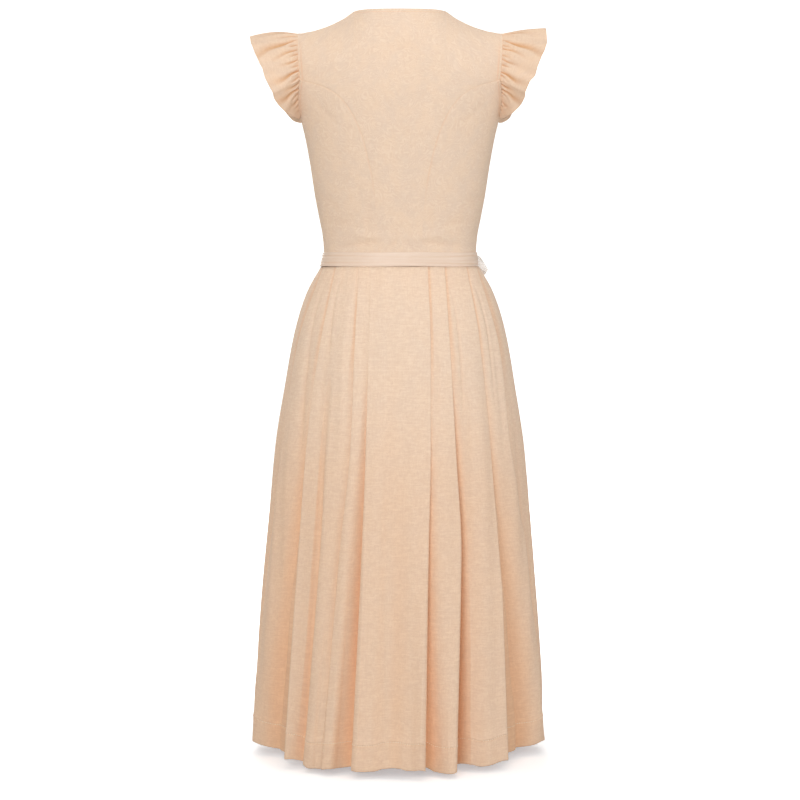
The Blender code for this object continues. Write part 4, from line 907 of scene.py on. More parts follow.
def ruffle_half(side, hand, cols=250, rows=42):
    """Half of a ruffle, made on the left. Rays leave the armhole; gathers leave the seam and fade
    at uneven lengths, and slow waves grow towards the free edge. Every gather is a valley with a
    lower ridge beside it, both bells that widen and wander outwards."""
    along = np.linspace(0, 1, cols)
    base = along_line(armhole_line(side), along * RUFFLE_END)
    down, turn = np.radians(ruffle_drop(along)), np.radians(ruffle_sweep(along)) * side
    ray = np.stack([np.cos(down) * np.cos(turn), np.cos(down) * np.sin(turn), -np.sin(down)], -1)
    base = base + np.outer(along, [RUFFLE_STAND, 0.0, 0.0])
    q = np.linspace(0, 1, rows)[:, None] ** 1.2
    bow, droop, added, lower, wave, turns = RUFFLE_BOW[hand]
    top = np.clip(1 - along / 0.35, 0.0, 1.0) ** 1.5
    width = ruffle_width(along) + added * top + lower * bell((along - 0.58) / 0.20)
    flat = base + ray * (RUFFLE_START + q * width)[..., None]
    flat[..., 2] += top * (bow * np.sin(np.pi * q) - droop * q ** 2)
    across = unit(np.cross(ray, unit(np.gradient(flat[-1], axis=0)))) * side
    full = np.minimum(1.0, width / RUFFLE_FULL_WIDTH)
    phase = along * 2 * math.pi
    slow = wave * np.sin(turns * phase + side + 0.8 * np.sin(2.1 * phase)) * q ** 1.3
    slow += 0.0007 * np.sin(9.7 * phase + 2.3 * side) * q ** 2
    fine = 0.0008 * np.sin(23 * phase + 2 * np.sin(5 * phase) + side) * np.exp(-q * 6) * q ** 0.15
    calm = full * soft_step(along / 0.07)
    slow, fine = slow * calm, fine * calm
    folds = np.zeros((rows, cols))
    for g in GATHERS:
        start = g.start if hand == "l" else g.start + 0.016 * math.sin(40 * g.start)
        place = start + g.drift * q + 0.006 * np.sin(9 * q + 30 * g.start)
        spread = 0.0085 + 0.034 * q
        fade = q ** 0.15 * np.exp(-(q / g.reach) ** 2)
        ridge = bell((along - place - 1.7 * spread) / (1.1 * spread))
        folds += g.depth * fade * (0.55 * ridge - bell((along - place) / spread)) * full
    grid = flat + across * (slow + fine + folds)[..., None]
    # The second result is painted shade in the gathers' valleys.
    return grid, np.clip(-(folds + fine) / 0.0026, 0.0, 1.0)


def ruffle_grid(hand):
    """A ruffle, front and back in one strip, and the painted shade of each point in the gathers."""
    return [np.concatenate([before[:, :0:-1], behind], axis=1)
            for before, behind in zip(ruffle_half(-1, hand), ruffle_half(1, hand))]


# Skirt

class Ring:
    """A level superellipse measured along its own length, with its outward normals."""

    def __init__(self, width, back, front, power=SECTION_POWER, samples=1441):
        self.angle = np.linspace(0, 2 * math.pi, samples)
        across, ahead = np.sin(self.angle), np.cos(self.angle)
        bend = (1 - np.abs(across) ** power) ** (1 / power)
        depth = np.where(ahead >= 0, back, front) * bend * np.sign(ahead)
        self.points = np.stack([-width * across, depth], axis=-1)
        self.length = edge_lengths(self.points, 0)
        way = unit(np.gradient(self.points, axis=0))
        way[0] = way[-1] = np.array([-1.0, 0.0])
        self.normal = np.stack([way[:, 1], -way[:, 0]], axis=-1)

    def place(self, degrees):
        """Length along the ring at an angle from the centre back, to the wearer's right."""
        return np.interp(math.radians(degrees) % (2 * math.pi), self.angle, self.length)

    def at(self, length, out):
        """Points at lengths along the ring, moved outwards."""
        s = np.asarray(length) % self.length[-1]
        p, n = [np.stack([np.interp(s, self.length, v) for v in each.T], -1)
                for each in (self.points, self.normal)]
        return p + unit(n) * np.asarray(out)[..., None]


def skirt_ring(z):
    return Ring(*[size(z) for size in skirt_sizes])


def pleat_row(pleat, z):
    """Seven points across a pleat at height z: two round turns where it is shut, and a fold with
    a rounded valley where it is open, mixed by how far it has opened."""
    opened = np.clip((pleat.release - z) / (pleat.release - HEM_Z), 0.0, 1.0)
    lap, v, d = pleat.lap, pleat.valley, pleat.depth
    flat, ends = SOFT_TOPPED.get(pleat, (1.0, 0.0))
    g = LAYER_STEP * (flat + (1 - flat) * float(soft_step((ends - z) / 0.10)))
    if lap > 0:
        shut = np.array([(-g / 2, 0), (0, -g / 2), (-g / 2, -g), (-lap + g / 2, -g),
                         (-lap, -1.5 * g), (-lap + g / 2, -2 * g), (UNDER_END, -2 * g)])
    else:
        across = np.linspace(-1, 1, 7)
        shut = np.stack([SOFT_REACH * across, -g / 2 * (1 - across ** 2) ** 2], axis=-1)
    before, dip, low = (ROUND_SHAPE if pleat in ROUND_FOLDS
                        else STEEP_SHAPE if pleat in STEEP_FOLDS else PLAIN_SHAPE)
    past = FOLD_PAST * (2 if pleat in STEEP_FOLDS else 1)
    near, far = v - VALLEY_HALF, v + VALLEY_HALF
    rise = max(FOLD_RISE * min(1.0, d / SMALL_FOLD), 2 * VALLEY_HALF) + d / 10
    opening = np.array([
        (-before, 0), (past, -dip * d), ((past + near) / 2, -low * d), (near, -0.96 * d),
        (v, -1.02 * d), (far, -0.97 * d), (v + rise, -FOLD_RISE_LEFT * d)])
    return shut * (1 - opened) + opening * np.array([opened, opened ** OPENING_POWER])


# Every pleat with its turning and its half, in order round from the centre back
PLEATS = ([(p, 1, 1) for p in BACK_RIGHT] + [(p, -1, 1) for p in reversed(FRONT_RIGHT)]
          + [(p, 1, -1) for p in FRONT_LEFT] + [(p, -1, -1) for p in reversed(BACK_LEFT)])


def edge_degrees(pleat, turn, half, z):
    """Where a pleat's edge lies on the ring at height z. Its distance from the middle of the dress
    is smooth from the belt to the hem, so the angle is the arcsine of that over the half width."""
    wide = skirt_sizes[0]
    marks = wide(np.array(PLEAT_Z)) * np.sin(np.radians(pleat[:5]))
    aside = float(smooth_through(PLEAT_Z, marks)(z))
    own = math.degrees(math.asin(min(aside / float(wide(z)), 0.9999)))
    if half > 0:
        return own if turn > 0 else 180.0 - own
    return 180.0 + own if turn > 0 else 360.0 - own


def face(start, end, shape, shares):
    """Places between two pleats at shares of the length, and heights that leave the start and come
    up to the end by a power."""
    share = np.array(shares)
    height = start[1] * (1 - share) ** shape + end[1] * share ** shape
    return np.stack([start[0] + (end[0] - start[0]) * share, height], axis=-1)


def centre_hollow(z):
    """How far the plain centre faces sink between their two edges."""
    share = np.array(CENTRE_SHARES)
    top = WAIST_Z - FLARE / 2
    deep = CENTRE_HOLLOW * soft_step((top - z) / (top - HEM_Z))
    return np.stack([np.zeros(len(share)), deep * 4 * share * (1 - share)], axis=-1)


def side_face(start, end, seam):
    """Places from the back's last pleat to the front's last, with the side seam midway."""
    share = np.linspace(0, 1, SIDE_POINTS // 2 + 2)[1:-1]
    middle = np.array([seam, 0.0])
    return np.concatenate([face(start, middle, SIDE_POWER, share), [middle],
                           face(middle, end, SIDE_POWER, share)])


def skirt_spots(z):
    """The ring at height z, lengths and heights of its columns, and the columns of its side seams.
    Pleats too close to the next are squeezed until PLEAT_CLEAR is left between them."""
    ring = skirt_ring(z)
    total = ring.length[-1]
    seam = ring.place(float(side_seam_degrees(z)))
    groups = []
    for pleat, turn, half in PLEATS:
        row = pleat_row(pleat, z) * (turn, 1) + (ring.place(edge_degrees(pleat, turn, half, z)), 0)
        groups.append(row[::turn])
    wraps = [total * (k == len(groups) - 1) for k in range(len(groups))]
    for group, after, wrap in zip(groups, groups[1:] + groups[:1], wraps):
        over = max(PLEAT_CLEAR - (after[0, 0] - group[-1, 0] + wrap), 0.0) / 2
        group[:, 0] -= over * (group[:, 0] - group[0, 0]) / (group[-1, 0] - group[0, 0])
        after[:, 0] += over * (after[-1, 0] - after[:, 0]) / (after[-1, 0] - after[0, 0])
    turned = np.clip((WAIST_Z - z) / FLARE, 0.0, 1.0)
    shape = FACE_POWER_LOW + (FACE_POWER_TOP - FACE_POWER_LOW) * (1 - turned) ** 3
    spots, seams = [], []
    for k, (group, wrap) in enumerate(zip(groups, wraps)):
        start, end = group[-1], groups[(k + 1) % len(groups)][0] + (wrap, 0)
        spots.append(group)
        if k in (RIGHT_SIDE_AFTER, LEFT_SIDE_AFTER):
            seams.append(sum(len(s) for s in spots) + SIDE_POINTS // 2)
            spots.append(side_face(start, end, seam if k == RIGHT_SIDE_AFTER else total - seam))
        elif k in CENTRE_AFTER:
            spots.append(face(start, end, shape, CENTRE_SHARES) - centre_hollow(z))
        else:
            spots.append(face(start, end, shape, FACE_SHARES))
    return ring, np.concatenate(spots), seams


def finer_columns(spots, total, per):
    """Columns between the given ones: in each row a smooth cubic over the length along it, with
    slopes that never overshoot. spots is rows x columns x 2, and the rows close on themselves."""
    spots = np.swapaxes(spots, 0, 1)
    shift = np.outer(total, [1.0, 0.0])
    wide = np.concatenate([spots[-2:] - shift, spots, spots[:3] + shift])
    step = np.maximum(np.linalg.norm(np.diff(wide, axis=0), axis=-1, keepdims=True), 1e-7)
    grade = calm_slopes(np.diff(wide, axis=0) / step, step)
    n = len(spots)
    step = step[2:2 + n]
    t = (np.arange(per) / per)[:, None, None, None]
    fine = cubic(t, wide[2:2 + n], wide[3:3 + n], step * grade[1:1 + n], step * grade[2:2 + n])
    return fine.transpose(2, 1, 0, 3).reshape(len(total), n * per, 2)


def skirt_levels(rows):
    """Heights of the skirt's rows, closer below the belt and at the hem's stitching."""
    even = WAIST_Z + (HEM_Z - WAIST_Z) * np.linspace(0, 1, rows) ** 1.12
    extra = STITCH_Z + np.array([-0.0035, -0.0018, -0.0009, 0.0, 0.0009, 0.0018, 0.0035])
    clear = even[np.abs(even - STITCH_Z) > 0.005]
    return np.sort(np.concatenate([clear, extra, [HEM_Z + 0.0012, HEM_Z + 0.003]]))[::-1]


def settled(points):
    """The skirt's points after its left side has spread towards the hem, the hem's sides have
    drawn in, and the hem has risen and dropped in uneven scallops: from the table at the back, in
    slow waves at the front."""
    x, y, z = np.moveaxis(points, -1, 0)
    wide = skirt_sizes[0](z)
    spread = LEFT_SPREAD * soft_step((SPREAD_Z - z) / 0.6) * soft_step((x / wide - 0.55) / 0.4)
    low = soft_step((SCALLOP_Z - z) / 0.13)
    behind = soft_step(0.5 + y / 0.06)
    waves = 0.0028 * np.sin(34 * x + 1.3) + 0.0022 * np.sin(71 * x + 0.4)
    rise = behind * hem_rise(x) + (1 - behind) * waves
    outer = soft_step((np.abs(x) / wide - 0.75) / 0.25)
    drawn = HEM_DRAWN * soft_step((DRAWN_Z - z) / 0.112) * outer
    return np.stack([x + spread - drawn * np.sign(x), y, z + low * rise], axis=-1)


def skirt_grid(rows=84, per=4):
    """The whole skirt's points on its level rings, how far out each lies from its ring, the
    columns of the two side seams, and the rows' heights."""
    levels = skirt_levels(rows)
    rings, spots, seams = zip(*[skirt_spots(z) for z in levels])
    spots = finer_columns(np.stack(spots), np.array([ring.length[-1] for ring in rings]), per)
    flat = np.stack([ring.at(*row.T) for ring, row in zip(rings, spots)])
    high = np.broadcast_to(levels[:, None, None], flat.shape[:2] + (1,))
    return np.concatenate([flat, high], axis=-1), spots[..., 1], [s * per for s in seams[0]], levels


def hollows(points, height, reach=FOLD_REACH, samples=1200):
    """How deep each point lies below the outermost cloth near it: the outermost heights of a row
    are spread evenly round it, smoothed by a bell, and the point's own height is taken off."""
    around = (around_of(points) / (2 * math.pi)) % 1.0
    girth = 2 * math.pi * np.hypot(points[..., 0], points[..., 1]).mean(axis=1)
    deep = np.zeros_like(height)
    wave = np.arange(samples // 2 + 1)
    for row in range(len(height)):
        slot = np.minimum((around[row] * samples).astype(int), samples - 1)
        top = np.full(samples, -1.0)
        np.maximum.at(top, slot, height[row])
        known = np.flatnonzero(top > -1.0)
        top = np.interp(np.arange(samples), known, top[known], period=samples)
        blur = np.exp(-0.5 * (2 * math.pi * wave * reach / girth[row]) ** 2)
        smooth = np.fft.irfft(np.fft.rfft(top) * blur, samples)
        deep[row] = smooth[slot] - height[row]
    return np.maximum(deep, 0.0)


def skirt_relief(points, levels):
    """Creases on the skirt, slow ripples that grow towards the hem, and the hem's turned depth
    with the groove and the puckers of its stitching."""
    around, z = around_of(points), points[..., 2]
    low = soft_step((WAIST_Z - 0.05 - z) / 0.5)
    ripple = 0.0011 * np.sin(23 * around + 1.7 + 3 * z) + 0.0008 * np.sin(37 * around + 0.4 - 5 * z)
    above = levels - STITCH_Z
    groove = 0.0010 * bell((above - 0.0018) / 0.0024) - 0.0005 * bell(above / 0.0008)
    pucker = 0.0005 * np.sin(180 * around + 2 * np.sin(31 * around)) * bell((z - STITCH_Z) / 0.009)
    turned = 0.0005 * soft_step(-above / 0.002) - 0.0005 * bell((levels - HEM_Z) / 0.001)
    return creases(points, SKIRT_CREASES) + ripple * low + pucker + (groove + turned)[:, None]


def skirt_painted_shade(points, radial, normal, height, relief, levels):
    """The painted warm shade of each point of the skirt: by its depth below the cloth near it, with
    the wide valleys at the sides judged by their own depth, and near the belt by the layer of the
    pleat. Sideways walls, low cloth and the stitching add to it; the doubled hem takes its tint."""
    levels = levels[:, None]
    high = 1 - soft_step((OPEN_Z - levels) / 0.14)
    outer = np.abs(points[..., 0]) / skirt_sizes[0](levels)
    sunk = np.maximum(-height, 0.0) * WIDE_SHADE * soft_step((outer - 0.60) / 0.10)
    deep = np.maximum(hollows(points, height + relief), sunk)
    fold = FOLD_DEEPEST * (1 - np.exp(-deep / FOLD_SHADE)) * (1 - 0.3 * high)
    fold = np.maximum(fold, 0.30 * high * soft_step((-height - 0.0009) / 0.0010))
    steep = 1 - np.abs(np.sum(normal * radial, axis=-1))
    fold = np.maximum(fold, STEEP_SHADE * soft_step(steep / 0.7))
    fold = fold * (1 - LOW_PAINTED_SHADE) + LOW_PAINTED_SHADE * soft_step((OPEN_Z - levels) / 0.30)
    fold = np.maximum(fold, HEM_SHADE * soft_step((STITCH_Z - levels) / 0.004))
    return np.maximum(fold, STITCH_SHADE * bell((levels - STITCH_Z + 0.0006) / 0.0020))


def seam_sides(grid, normal, places, fold):
    """The grid with close columns beside each of its two seams. The cloth turns in there by
    SEAM_TURN, falling off as a bell, and takes a painted warm shade."""
    layers = np.swapaxes(layered(grid, normal, places, fold), 0, 1)
    turn = bell(np.array(SEAM_STEPS) / 0.0012)[:, None]
    for _ in range(2):
        close = close_rows(layers, SEAM_STEPS, 0.95)
        close[..., :3] -= close[..., 3:6] * (SEAM_TURN * turn)[..., None]
        # painted shade beside the seam
        close[..., 8] = np.maximum(close[..., 8], 0.30 * turn)
        layers = np.concatenate([close, layers[1:]])[::-1]
    grid, normal, places, fold = unlayered(np.swapaxes(layers, 0, 1))
    return grid, unit(normal), places, fold


# Ribbon

def belt_ring(z):
    """The body's section at a height, or halfway between two."""
    return Ring(*[float(np.mean(size(z))) for size in (body_width, body_back, body_front)])


def over_lap(points):
    """How far the belt stands out where it crosses the lapped fronts."""
    x, y = points.T
    left = LAP_LIFT * (1 - soft_step((x - LAP_PAST_CENTRE - LAP_SIDE_CLEAR) / LAP_SIDE_FALL))
    return np.where(y < 0, np.where(x < 0, lap_lift(-x), left), 0.0)


def belt_grid(cols=420, rows=25):
    """The belt: even lengths round the body's section, crowned across its width, with soft
    lengthwise creases that come and go. The second result is the painted shade in the creases."""
    points, folds = [], []
    turn = circle_turns(cols)
    strong = 0.30 + 0.70 * np.sin(turn + 0.1) ** 2
    lines = [(0.30 + 0.06 * np.sin(3 * turn + 1), 0.9),
             (0.55 + 0.05 * np.sin(2 * turn + 0.4), 0.45),
             (0.76 - 0.05 * np.sin(2 * turn + 2.2), 0.8)]
    for s in np.linspace(0, 1, rows):
        z = BELT_TOP_Z + (BELT_BOTTOM_Z - BELT_TOP_Z) * s
        ring = belt_ring(z)
        at = np.arange(cols) / cols * ring.length[-1]
        plain = ring.at(at, np.zeros(cols))
        crease = sum(k * bell((s - line) / 0.055) for line, k in lines) * strong
        crown = -0.0007 * (2 * s - 1) ** 4 - 0.0002 * bell(min(s, 1 - s) / 0.04)
        out = BELT_OUT + SOLID_RIBBON / 2 + 0.0008 + over_lap(plain)
        out = out + BELT_FLARE * s ** 1.5 * soft_step((plain[:, 0] / 0.12 - 0.62) / 0.36)
        placed = ring.at(at, out + crown - 0.0010 * crease)
        points.append(np.column_stack([placed, z + 0.0004 * np.sin(5 * turn + 0.7)]))
        # painted shade in the creases
        folds.append(0.85 * crease)
    return np.array(points), np.clip(folds, 0.0, 1.0)


def knot_frame():
    """Place of the knot on the belt, the way along the belt to the front, and the way out."""
    ends = np.array([BELT_TOP_Z, BELT_BOTTOM_Z])
    ring = belt_ring(ends)
    at = ring.place(180.0 - KNOT_DEG)
    base, ahead = ring.at(np.array([at, at + 0.001]), np.full(2, BELT_OUT + SOLID_RIBBON))
    along = unit(np.append(ahead - base, 0.0))
    return np.append(base, np.mean(ends)), along, np.array([along[1], -along[0], 0.0])


def gathered_half(width, share):
    """Half width of a ribbon that spreads from the knot's gathers to its full width."""
    return width / 2 * (GATHERED + (1 - GATHERED) * soft_step(share))


def loop_grid(base, along, outward, length, droop, rows=90, cols=26):
    """One loop of the bow: out near the belt, a round turn and back over it. Lengthwise folds fan
    out of the knot and fade towards the turn."""
    t = np.linspace(0, 1, rows)[:, None]
    start = KNOT_SIZE[0] / 2 + SEAM_GAP
    share = np.sin(np.pi * t) ** 0.8
    full = LOOP_FULLNESS * np.sin(np.pi * t) * (0.2 + 0.8 * t)
    rise = np.linspace(1, -1, cols)
    folds = 0.0009 * np.cos(rise * 3.2 * np.pi) * (1 - soft_step(share * 1.3))
    out = LOOP_CLEAR + LOOP_SPREAD * t + full + folds - 0.0016 * rise ** 2 * share
    z = rise * gathered_half(LOOP_HEIGHT, share * 1.4) - droop * share ** 1.5
    pointed = start + (length - start) * share * (1 - LOOP_POINT * np.abs(rise + 0.3))
    return base + pointed[..., None] * along + out[..., None] * outward + z[..., None] * UP


def tail_grid(lean, out, length, base_z, rows=120, cols=16):
    """One hanging end: it follows the skirt's envelope, swings aside and ends in a slanted cut."""
    across = np.linspace(-1, 1, cols)
    points = []
    for share in np.linspace(0, 1, rows):
        z = base_z - KNOT_SIZE[2] / 2 - SEAM_GAP - length * share
        ring = skirt_ring(z)
        at = ring.place(180.0 - KNOT_DEG) + lean * (TAIL_START + share)
        fold = 0.0009 * np.cos(across * 2.6 * np.pi) * (1 - soft_step(share * 4))
        sway = 0.0012 * np.sin(share * 9.0 + lean * 90) * across + 0.0008 * (1 - across ** 2)
        placed = ring.at(at + across * gathered_half(TAIL_WIDTH, share * 6),
                         out + fold + sway * soft_step(share * 3))
        slant = TAIL_SLANT * across * np.sign(lean) * soft_step((share - 0.55) / 0.45)
        points.append(np.column_stack([placed, z + slant]))
    return np.array(points)


def knot_grid(centre, axes, around=56, rows=36):
    """The knot: a rounded block on three axes with wrapped folds round it."""
    v = np.linspace(-math.pi / 2, math.pi / 2, rows)[:, None]
    u = circle_turns(around)[None, :]

    def bent(value, power=0.7):
        return np.sign(value) * np.abs(value) ** power

    local = np.stack([bent(np.cos(v)) * bent(np.cos(u)), bent(np.cos(v)) * bent(np.sin(u)),
                      bent(np.sin(v)) * np.ones_like(u)], axis=-1)
    wrap = 1 + 0.045 * np.sin(local[..., 2:] * 7 + local[..., :1] * 1.6) * (1 - local[..., 2:] ** 2)
    local = local * np.concatenate([wrap, wrap, np.ones_like(wrap)], axis=-1) * KNOT_SIZE / 2
    return local @ np.array(axes) + centre


# Settings

COLOUR = {"subtype": "COLOR", "min": 0.0, "max": 1.0}
SHARE = {"subtype": "FACTOR", "min": 0.0, "max": 1.0}


class DirndlCloth(bpy.types.PropertyGroup):
    """Sizes and colours of the peach cloth."""
    colour: FloatVectorProperty(
        name="Cloth colour", description="Colour of the woven cloth",
        default=(0.895, 0.707, 0.558), **COLOUR)
    # Tint of the painted shade in the folds.
    fold_shade_tint: FloatVectorProperty(
        name="Fold tint", description="What the cloth's colour is multiplied by deep in a fold",
        default=(0.99, 0.62, 0.32), **COLOUR)
    # Tint of the painted shade in the ruffles' gathers.
    gather_shade_tint: FloatVectorProperty(
        name="Gather tint", description="What a ruffle's colour is multiplied by deep in a gather",
        default=(0.80, 0.58, 0.38), **COLOUR)
    thickness: FloatProperty(
        name="Cloth thickness", description="Thickness of each panel",
        default=0.0009, unit="LENGTH")
    figure: FloatProperty(
        name="Figure", description="Strength of the woven scroll figure on the bodice",
        default=0.55, **SHARE)
    slub: FloatProperty(
        name="Slubs", description="Strength of the uneven threads", default=0.88, **SHARE)
    seam_depth: FloatProperty(
        name="Seam depth", description="How far the cloth dips at a seam",
        default=0.0005, unit="LENGTH")
    stitch: FloatProperty(
        name="Stitch length", description="From one stitch to the next",
        default=0.0030, unit="LENGTH")


class DirndlRibbon(bpy.types.PropertyGroup):
    """Sizes and colours of the ribbon."""
    belt_colour: FloatVectorProperty(
        name="Belt colour", description="Colour of the satin belt",
        default=(0.860, 0.690, 0.570), **COLOUR)
    bow_colour: FloatVectorProperty(
        name="Bow colour", description="Colour of the sheer bow",
        default=(0.985, 0.965, 0.950), **COLOUR)
    sheer: FloatProperty(
        name="Bow cover", description="How much each face of the bow hides what is behind it",
        default=0.28, **SHARE)
    thickness: FloatProperty(
        name="Ribbon thickness", description="Thickness of the ribbon",
        default=0.0007, unit="LENGTH")


class DirndlStage(bpy.types.PropertyGroup):
    """Studio floor, lights and camera."""
    distance: FloatProperty(
        name="Camera distance", description="From the garment's axis", default=3.4, unit="LENGTH")
    height: FloatProperty(
        name="Camera height", description="Above the origin", default=-0.389, unit="LENGTH")
    tilt: FloatProperty(
        name="Camera tilt", description="Downwards", default=math.radians(3.82), subtype="ANGLE")
    lens: FloatProperty(
        name="Focal length", description="On a 36 mm sensor, in millimetres", default=95.625)
    floor_gap: FloatProperty(
        name="Floor gap", description="From the hem down to the floor",
        default=0.013, unit="LENGTH")
    key: FloatProperty(name="Key light", description="Its power", default=72.0, unit="POWER")
    fill: FloatProperty(name="Fill light", description="Its power", default=28.0, unit="POWER")
    side: FloatProperty(name="Side light", description="Its power", default=11.5, unit="POWER")
    side_colour: FloatVectorProperty(
        name="Side colour", description="The side light's colour",
        default=(1.0, 0.91, 0.79), **COLOUR)
    front: FloatProperty(name="Front light", description="Its power", default=62.0, unit="POWER")
    top: FloatProperty(name="Top light", description="Its power", default=22.0, unit="POWER")
    sky: FloatProperty(name="Surrounding light", description="Its strength", default=0.38)
    sky_colour: FloatVectorProperty(
        name="Surrounding colour", description="Its colour", default=(1.0, 0.93, 0.84), **COLOUR)


def cloth_finish(kind):
    """The cloth of the bodice, the ruffles or the skirt, made when it is first asked for."""
    c = bpy.context.scene.dirndl_cloth
    name = f"peach_{kind}_cloth"
    deeper = scaled(c.colour, 0.985, 0.955, 0.925)
    looks = {
        "bodice": (c.colour, c.fold_shade_tint, c.figure, c.slub * 0.55),
        "ruffle": (deeper, c.gather_shade_tint, c.figure * 0.6, c.slub * 0.6),
        "skirt": (c.colour, c.fold_shade_tint, c.figure * 0.4, c.slub),
    }
    return bpy.data.materials.get(name) or peach_cloth(name, *looks[kind])


# Pieces

def stands_for(piece, slot, *nodes):
    """A piece takes the place of its nodes, which are hidden. slot is not used."""
    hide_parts(*nodes)


def sew(name, line, normal, pitch, length=0.62, radius=0.00022):
    """A row of stitches along a line of points, each a short thread that rises from the cloth."""
    total = edge_lengths(line, 0)[-1]
    count = int(total / pitch)
    share = (np.arange(count) + 0.5) / count
    step = length * pitch / total / 2
    up = np.stack([np.interp(share, np.linspace(0, 1, len(line)), n) for n in normal.T], -1)
    points, faces = tubes(along_line(line, share - step), along_line(line, share + step),
                          unit(up) * 0.00025, radius)
    finish = (bpy.data.materials.get("peach_thread")
              or thread_finish("peach_thread", bpy.context.scene.dirndl_cloth.colour))
    piece = mesh_from(name, points, faces, points[:, [0, 2]], finish)
    return piece


def cloth_piece(name, node, grid, outward, fold, kind="bodice"):
    """A panel or a ruffle, mapped along its own rows and columns."""
    piece = shell(name, grid, grid_normals(grid, outward), bpy.context.scene.dirndl_cloth.thickness,
                  cloth_map(grid), cloth_finish(kind), fold)
    stands_for(piece, "peach_cloth", node)
    return piece


def one_side(key, hand, grid, outward, fold, kind="bodice"):
    """A piece made for the wearer's left, or its mirror image for the right."""
    if hand == "r":
        grid, fold, outward = (grid * MIRROR)[:, ::-1], fold[:, ::-1], outward * MIRROR
    piece = cloth_piece(f"{key}_cloth_{hand}", f"{key}_{hand}", grid, outward, fold, kind)


class DIRNDL_OT_back(bpy.types.Operator):
    """Make the centre back panel"""
    bl_idname = "dirndl.centre_back"
    bl_label = "Centre back"

    def execute(self, context):
        half, corner, neck = centre_back_grid()
        outward = np.array([0.0, 1.0, 0.3])
        middle, fold = finish_panel(
            half, outward, [half[corner:, -1], half[0, neck:]],
            [half[:corner + 1, -1], half[0, :neck + 1]], context.scene.dirndl_cloth.seam_depth)
        full = np.concatenate([middle[:, :0:-1] * MIRROR, middle], axis=1)
        fold = np.concatenate([fold[:, :0:-1], fold], axis=1)
        piece = cloth_piece("bodice_back_cloth", "bodice_back", full, outward, fold)
        return {"FINISHED"}


class DIRNDL_OT_sides(bpy.types.Operator):
    """Make the side backs and the side fronts"""
    bl_idname = "dirndl.side_panels"
    bl_label = "Side panels"

    def execute(self, context):
        for key, seam, side in (("side_back", BACK_SEAM, 1), ("side_front", FRONT_SEAM, -1)):
            grid, arm = side_grid(seam, side)
            outward = np.array([1.0, float(side), 0.0])
            middle, fold = finish_panel(grid, outward, [grid[:, 0], grid[arm - 1:, -1]],
                                        [grid[:arm, -1]], context.scene.dirndl_cloth.seam_depth)
            middle[arm - 1:, -1, 1] = side * SEAM_GAP / 2
            for hand in ("l", "r"):
                one_side(key, hand, middle, outward, fold)
        return {"FINISHED"}


class DIRNDL_OT_fronts(bpy.types.Operator):
    """Make the two fronts, the right one lapped over the left"""
    bl_idname = "dirndl.fronts"
    bl_label = "Fronts"

    def execute(self, context):
        for hand in ("l", "r"):
            grid, corner = front_grid(hand == "r")
            middle, fold = finish_panel(
                grid, FRONT_WAY, [grid[corner:, -1], grid[0]], [grid[:corner + 1, -1], grid[:, 0]],
                context.scene.dirndl_cloth.seam_depth)
            one_side("front", hand, middle, FRONT_WAY, fold)
        return {"FINISHED"}


class DIRNDL_OT_ruffles(bpy.types.Operator):
    """Make the gathered ruffle round each armhole"""
    bl_idname = "dirndl.ruffles"
    bl_label = "Armhole ruffles"

    def execute(self, context):
        for hand in ("l", "r"):
            grid, fold = ruffle_grid(hand)
            one_side("ruffle", hand, grid, UP, fold, "ruffle")
        return {"FINISHED"}


class DIRNDL_OT_skirt(bpy.types.Operator):
    """Make the pleated skirt's back and front, and the stitching of its hem"""
    bl_idname = "dirndl.skirt"
    bl_label = "Pleated skirt"

    def execute(self, context):
        c = context.scene.dirndl_cloth
        points, height, seams, levels = skirt_grid()
        total = points.shape[1]
        radial = unit(points * LEVEL)
        relief = skirt_relief(points, levels)
        normal = grid_normals(points, radial, closed=True)
        points = points + radial * relief[..., None]
        # Painted shade of the skirt's folds, carried by the fold attribute.
        fold = skirt_painted_shade(points, radial, normal, height, relief, levels)
        points = settled(points)
        normal = grid_normals(points, radial, closed=True)
        middle_row, stitch_row = [int(np.argmin(np.abs(levels - z))) for z in (MIDDLE_Z, STITCH_Z)]
        along = edge_lengths(points[middle_row], 0)
        for node, span in (("skirt_front", np.arange(seams[0], seams[1] + 1)),
                           ("skirt_back", np.arange(seams[1], total + seams[0] + 1))):
            ids = span % total
            u = np.where(span < total, along[ids], along[ids] + along[-1])
            places = np.stack(np.broadcast_arrays(u - u.mean(), levels[:, None]), axis=-1)
            grid, out, places, deep = seam_sides(
                points[:, ids], normal[:, ids], places, fold[:, ids])
            piece = shell(node + "_cloth", grid, out, c.thickness, places, cloth_finish("skirt"),
                          deep, border=False)
            stands_for(piece, "peach_cloth", node)
            up = out[stitch_row]
            stitches = sew(node + "_hem_stitches", grid[stitch_row] + up * c.thickness / 2, up,
                           c.stitch * 1.3, 0.60, 0.00065)
        return {"FINISHED"}


class DIRNDL_OT_belt(bpy.types.Operator):
    """Make the ribbon round the waist"""
    bl_idname = "dirndl.belt"
    bl_label = "Belt"

    def execute(self, context):
        r = context.scene.dirndl_ribbon
        grid, fold = belt_grid()
        u = np.arange(grid.shape[1]) / grid.shape[1] * CUTS["belt"][0]
        places = np.stack(np.broadcast_arrays(u, grid[:, :1, 2]), axis=-1)
        finish = satin("ivory_satin", r.belt_colour, 1.0, 0.36)
        piece = shell("belt_ribbon", grid, grid_normals(grid, grid * LEVEL, closed=True),
                      r.thickness, places, finish, fold, closed=True)
        stands_for(piece, "ivory_ribbon", "belt")
        return {"FINISHED"}


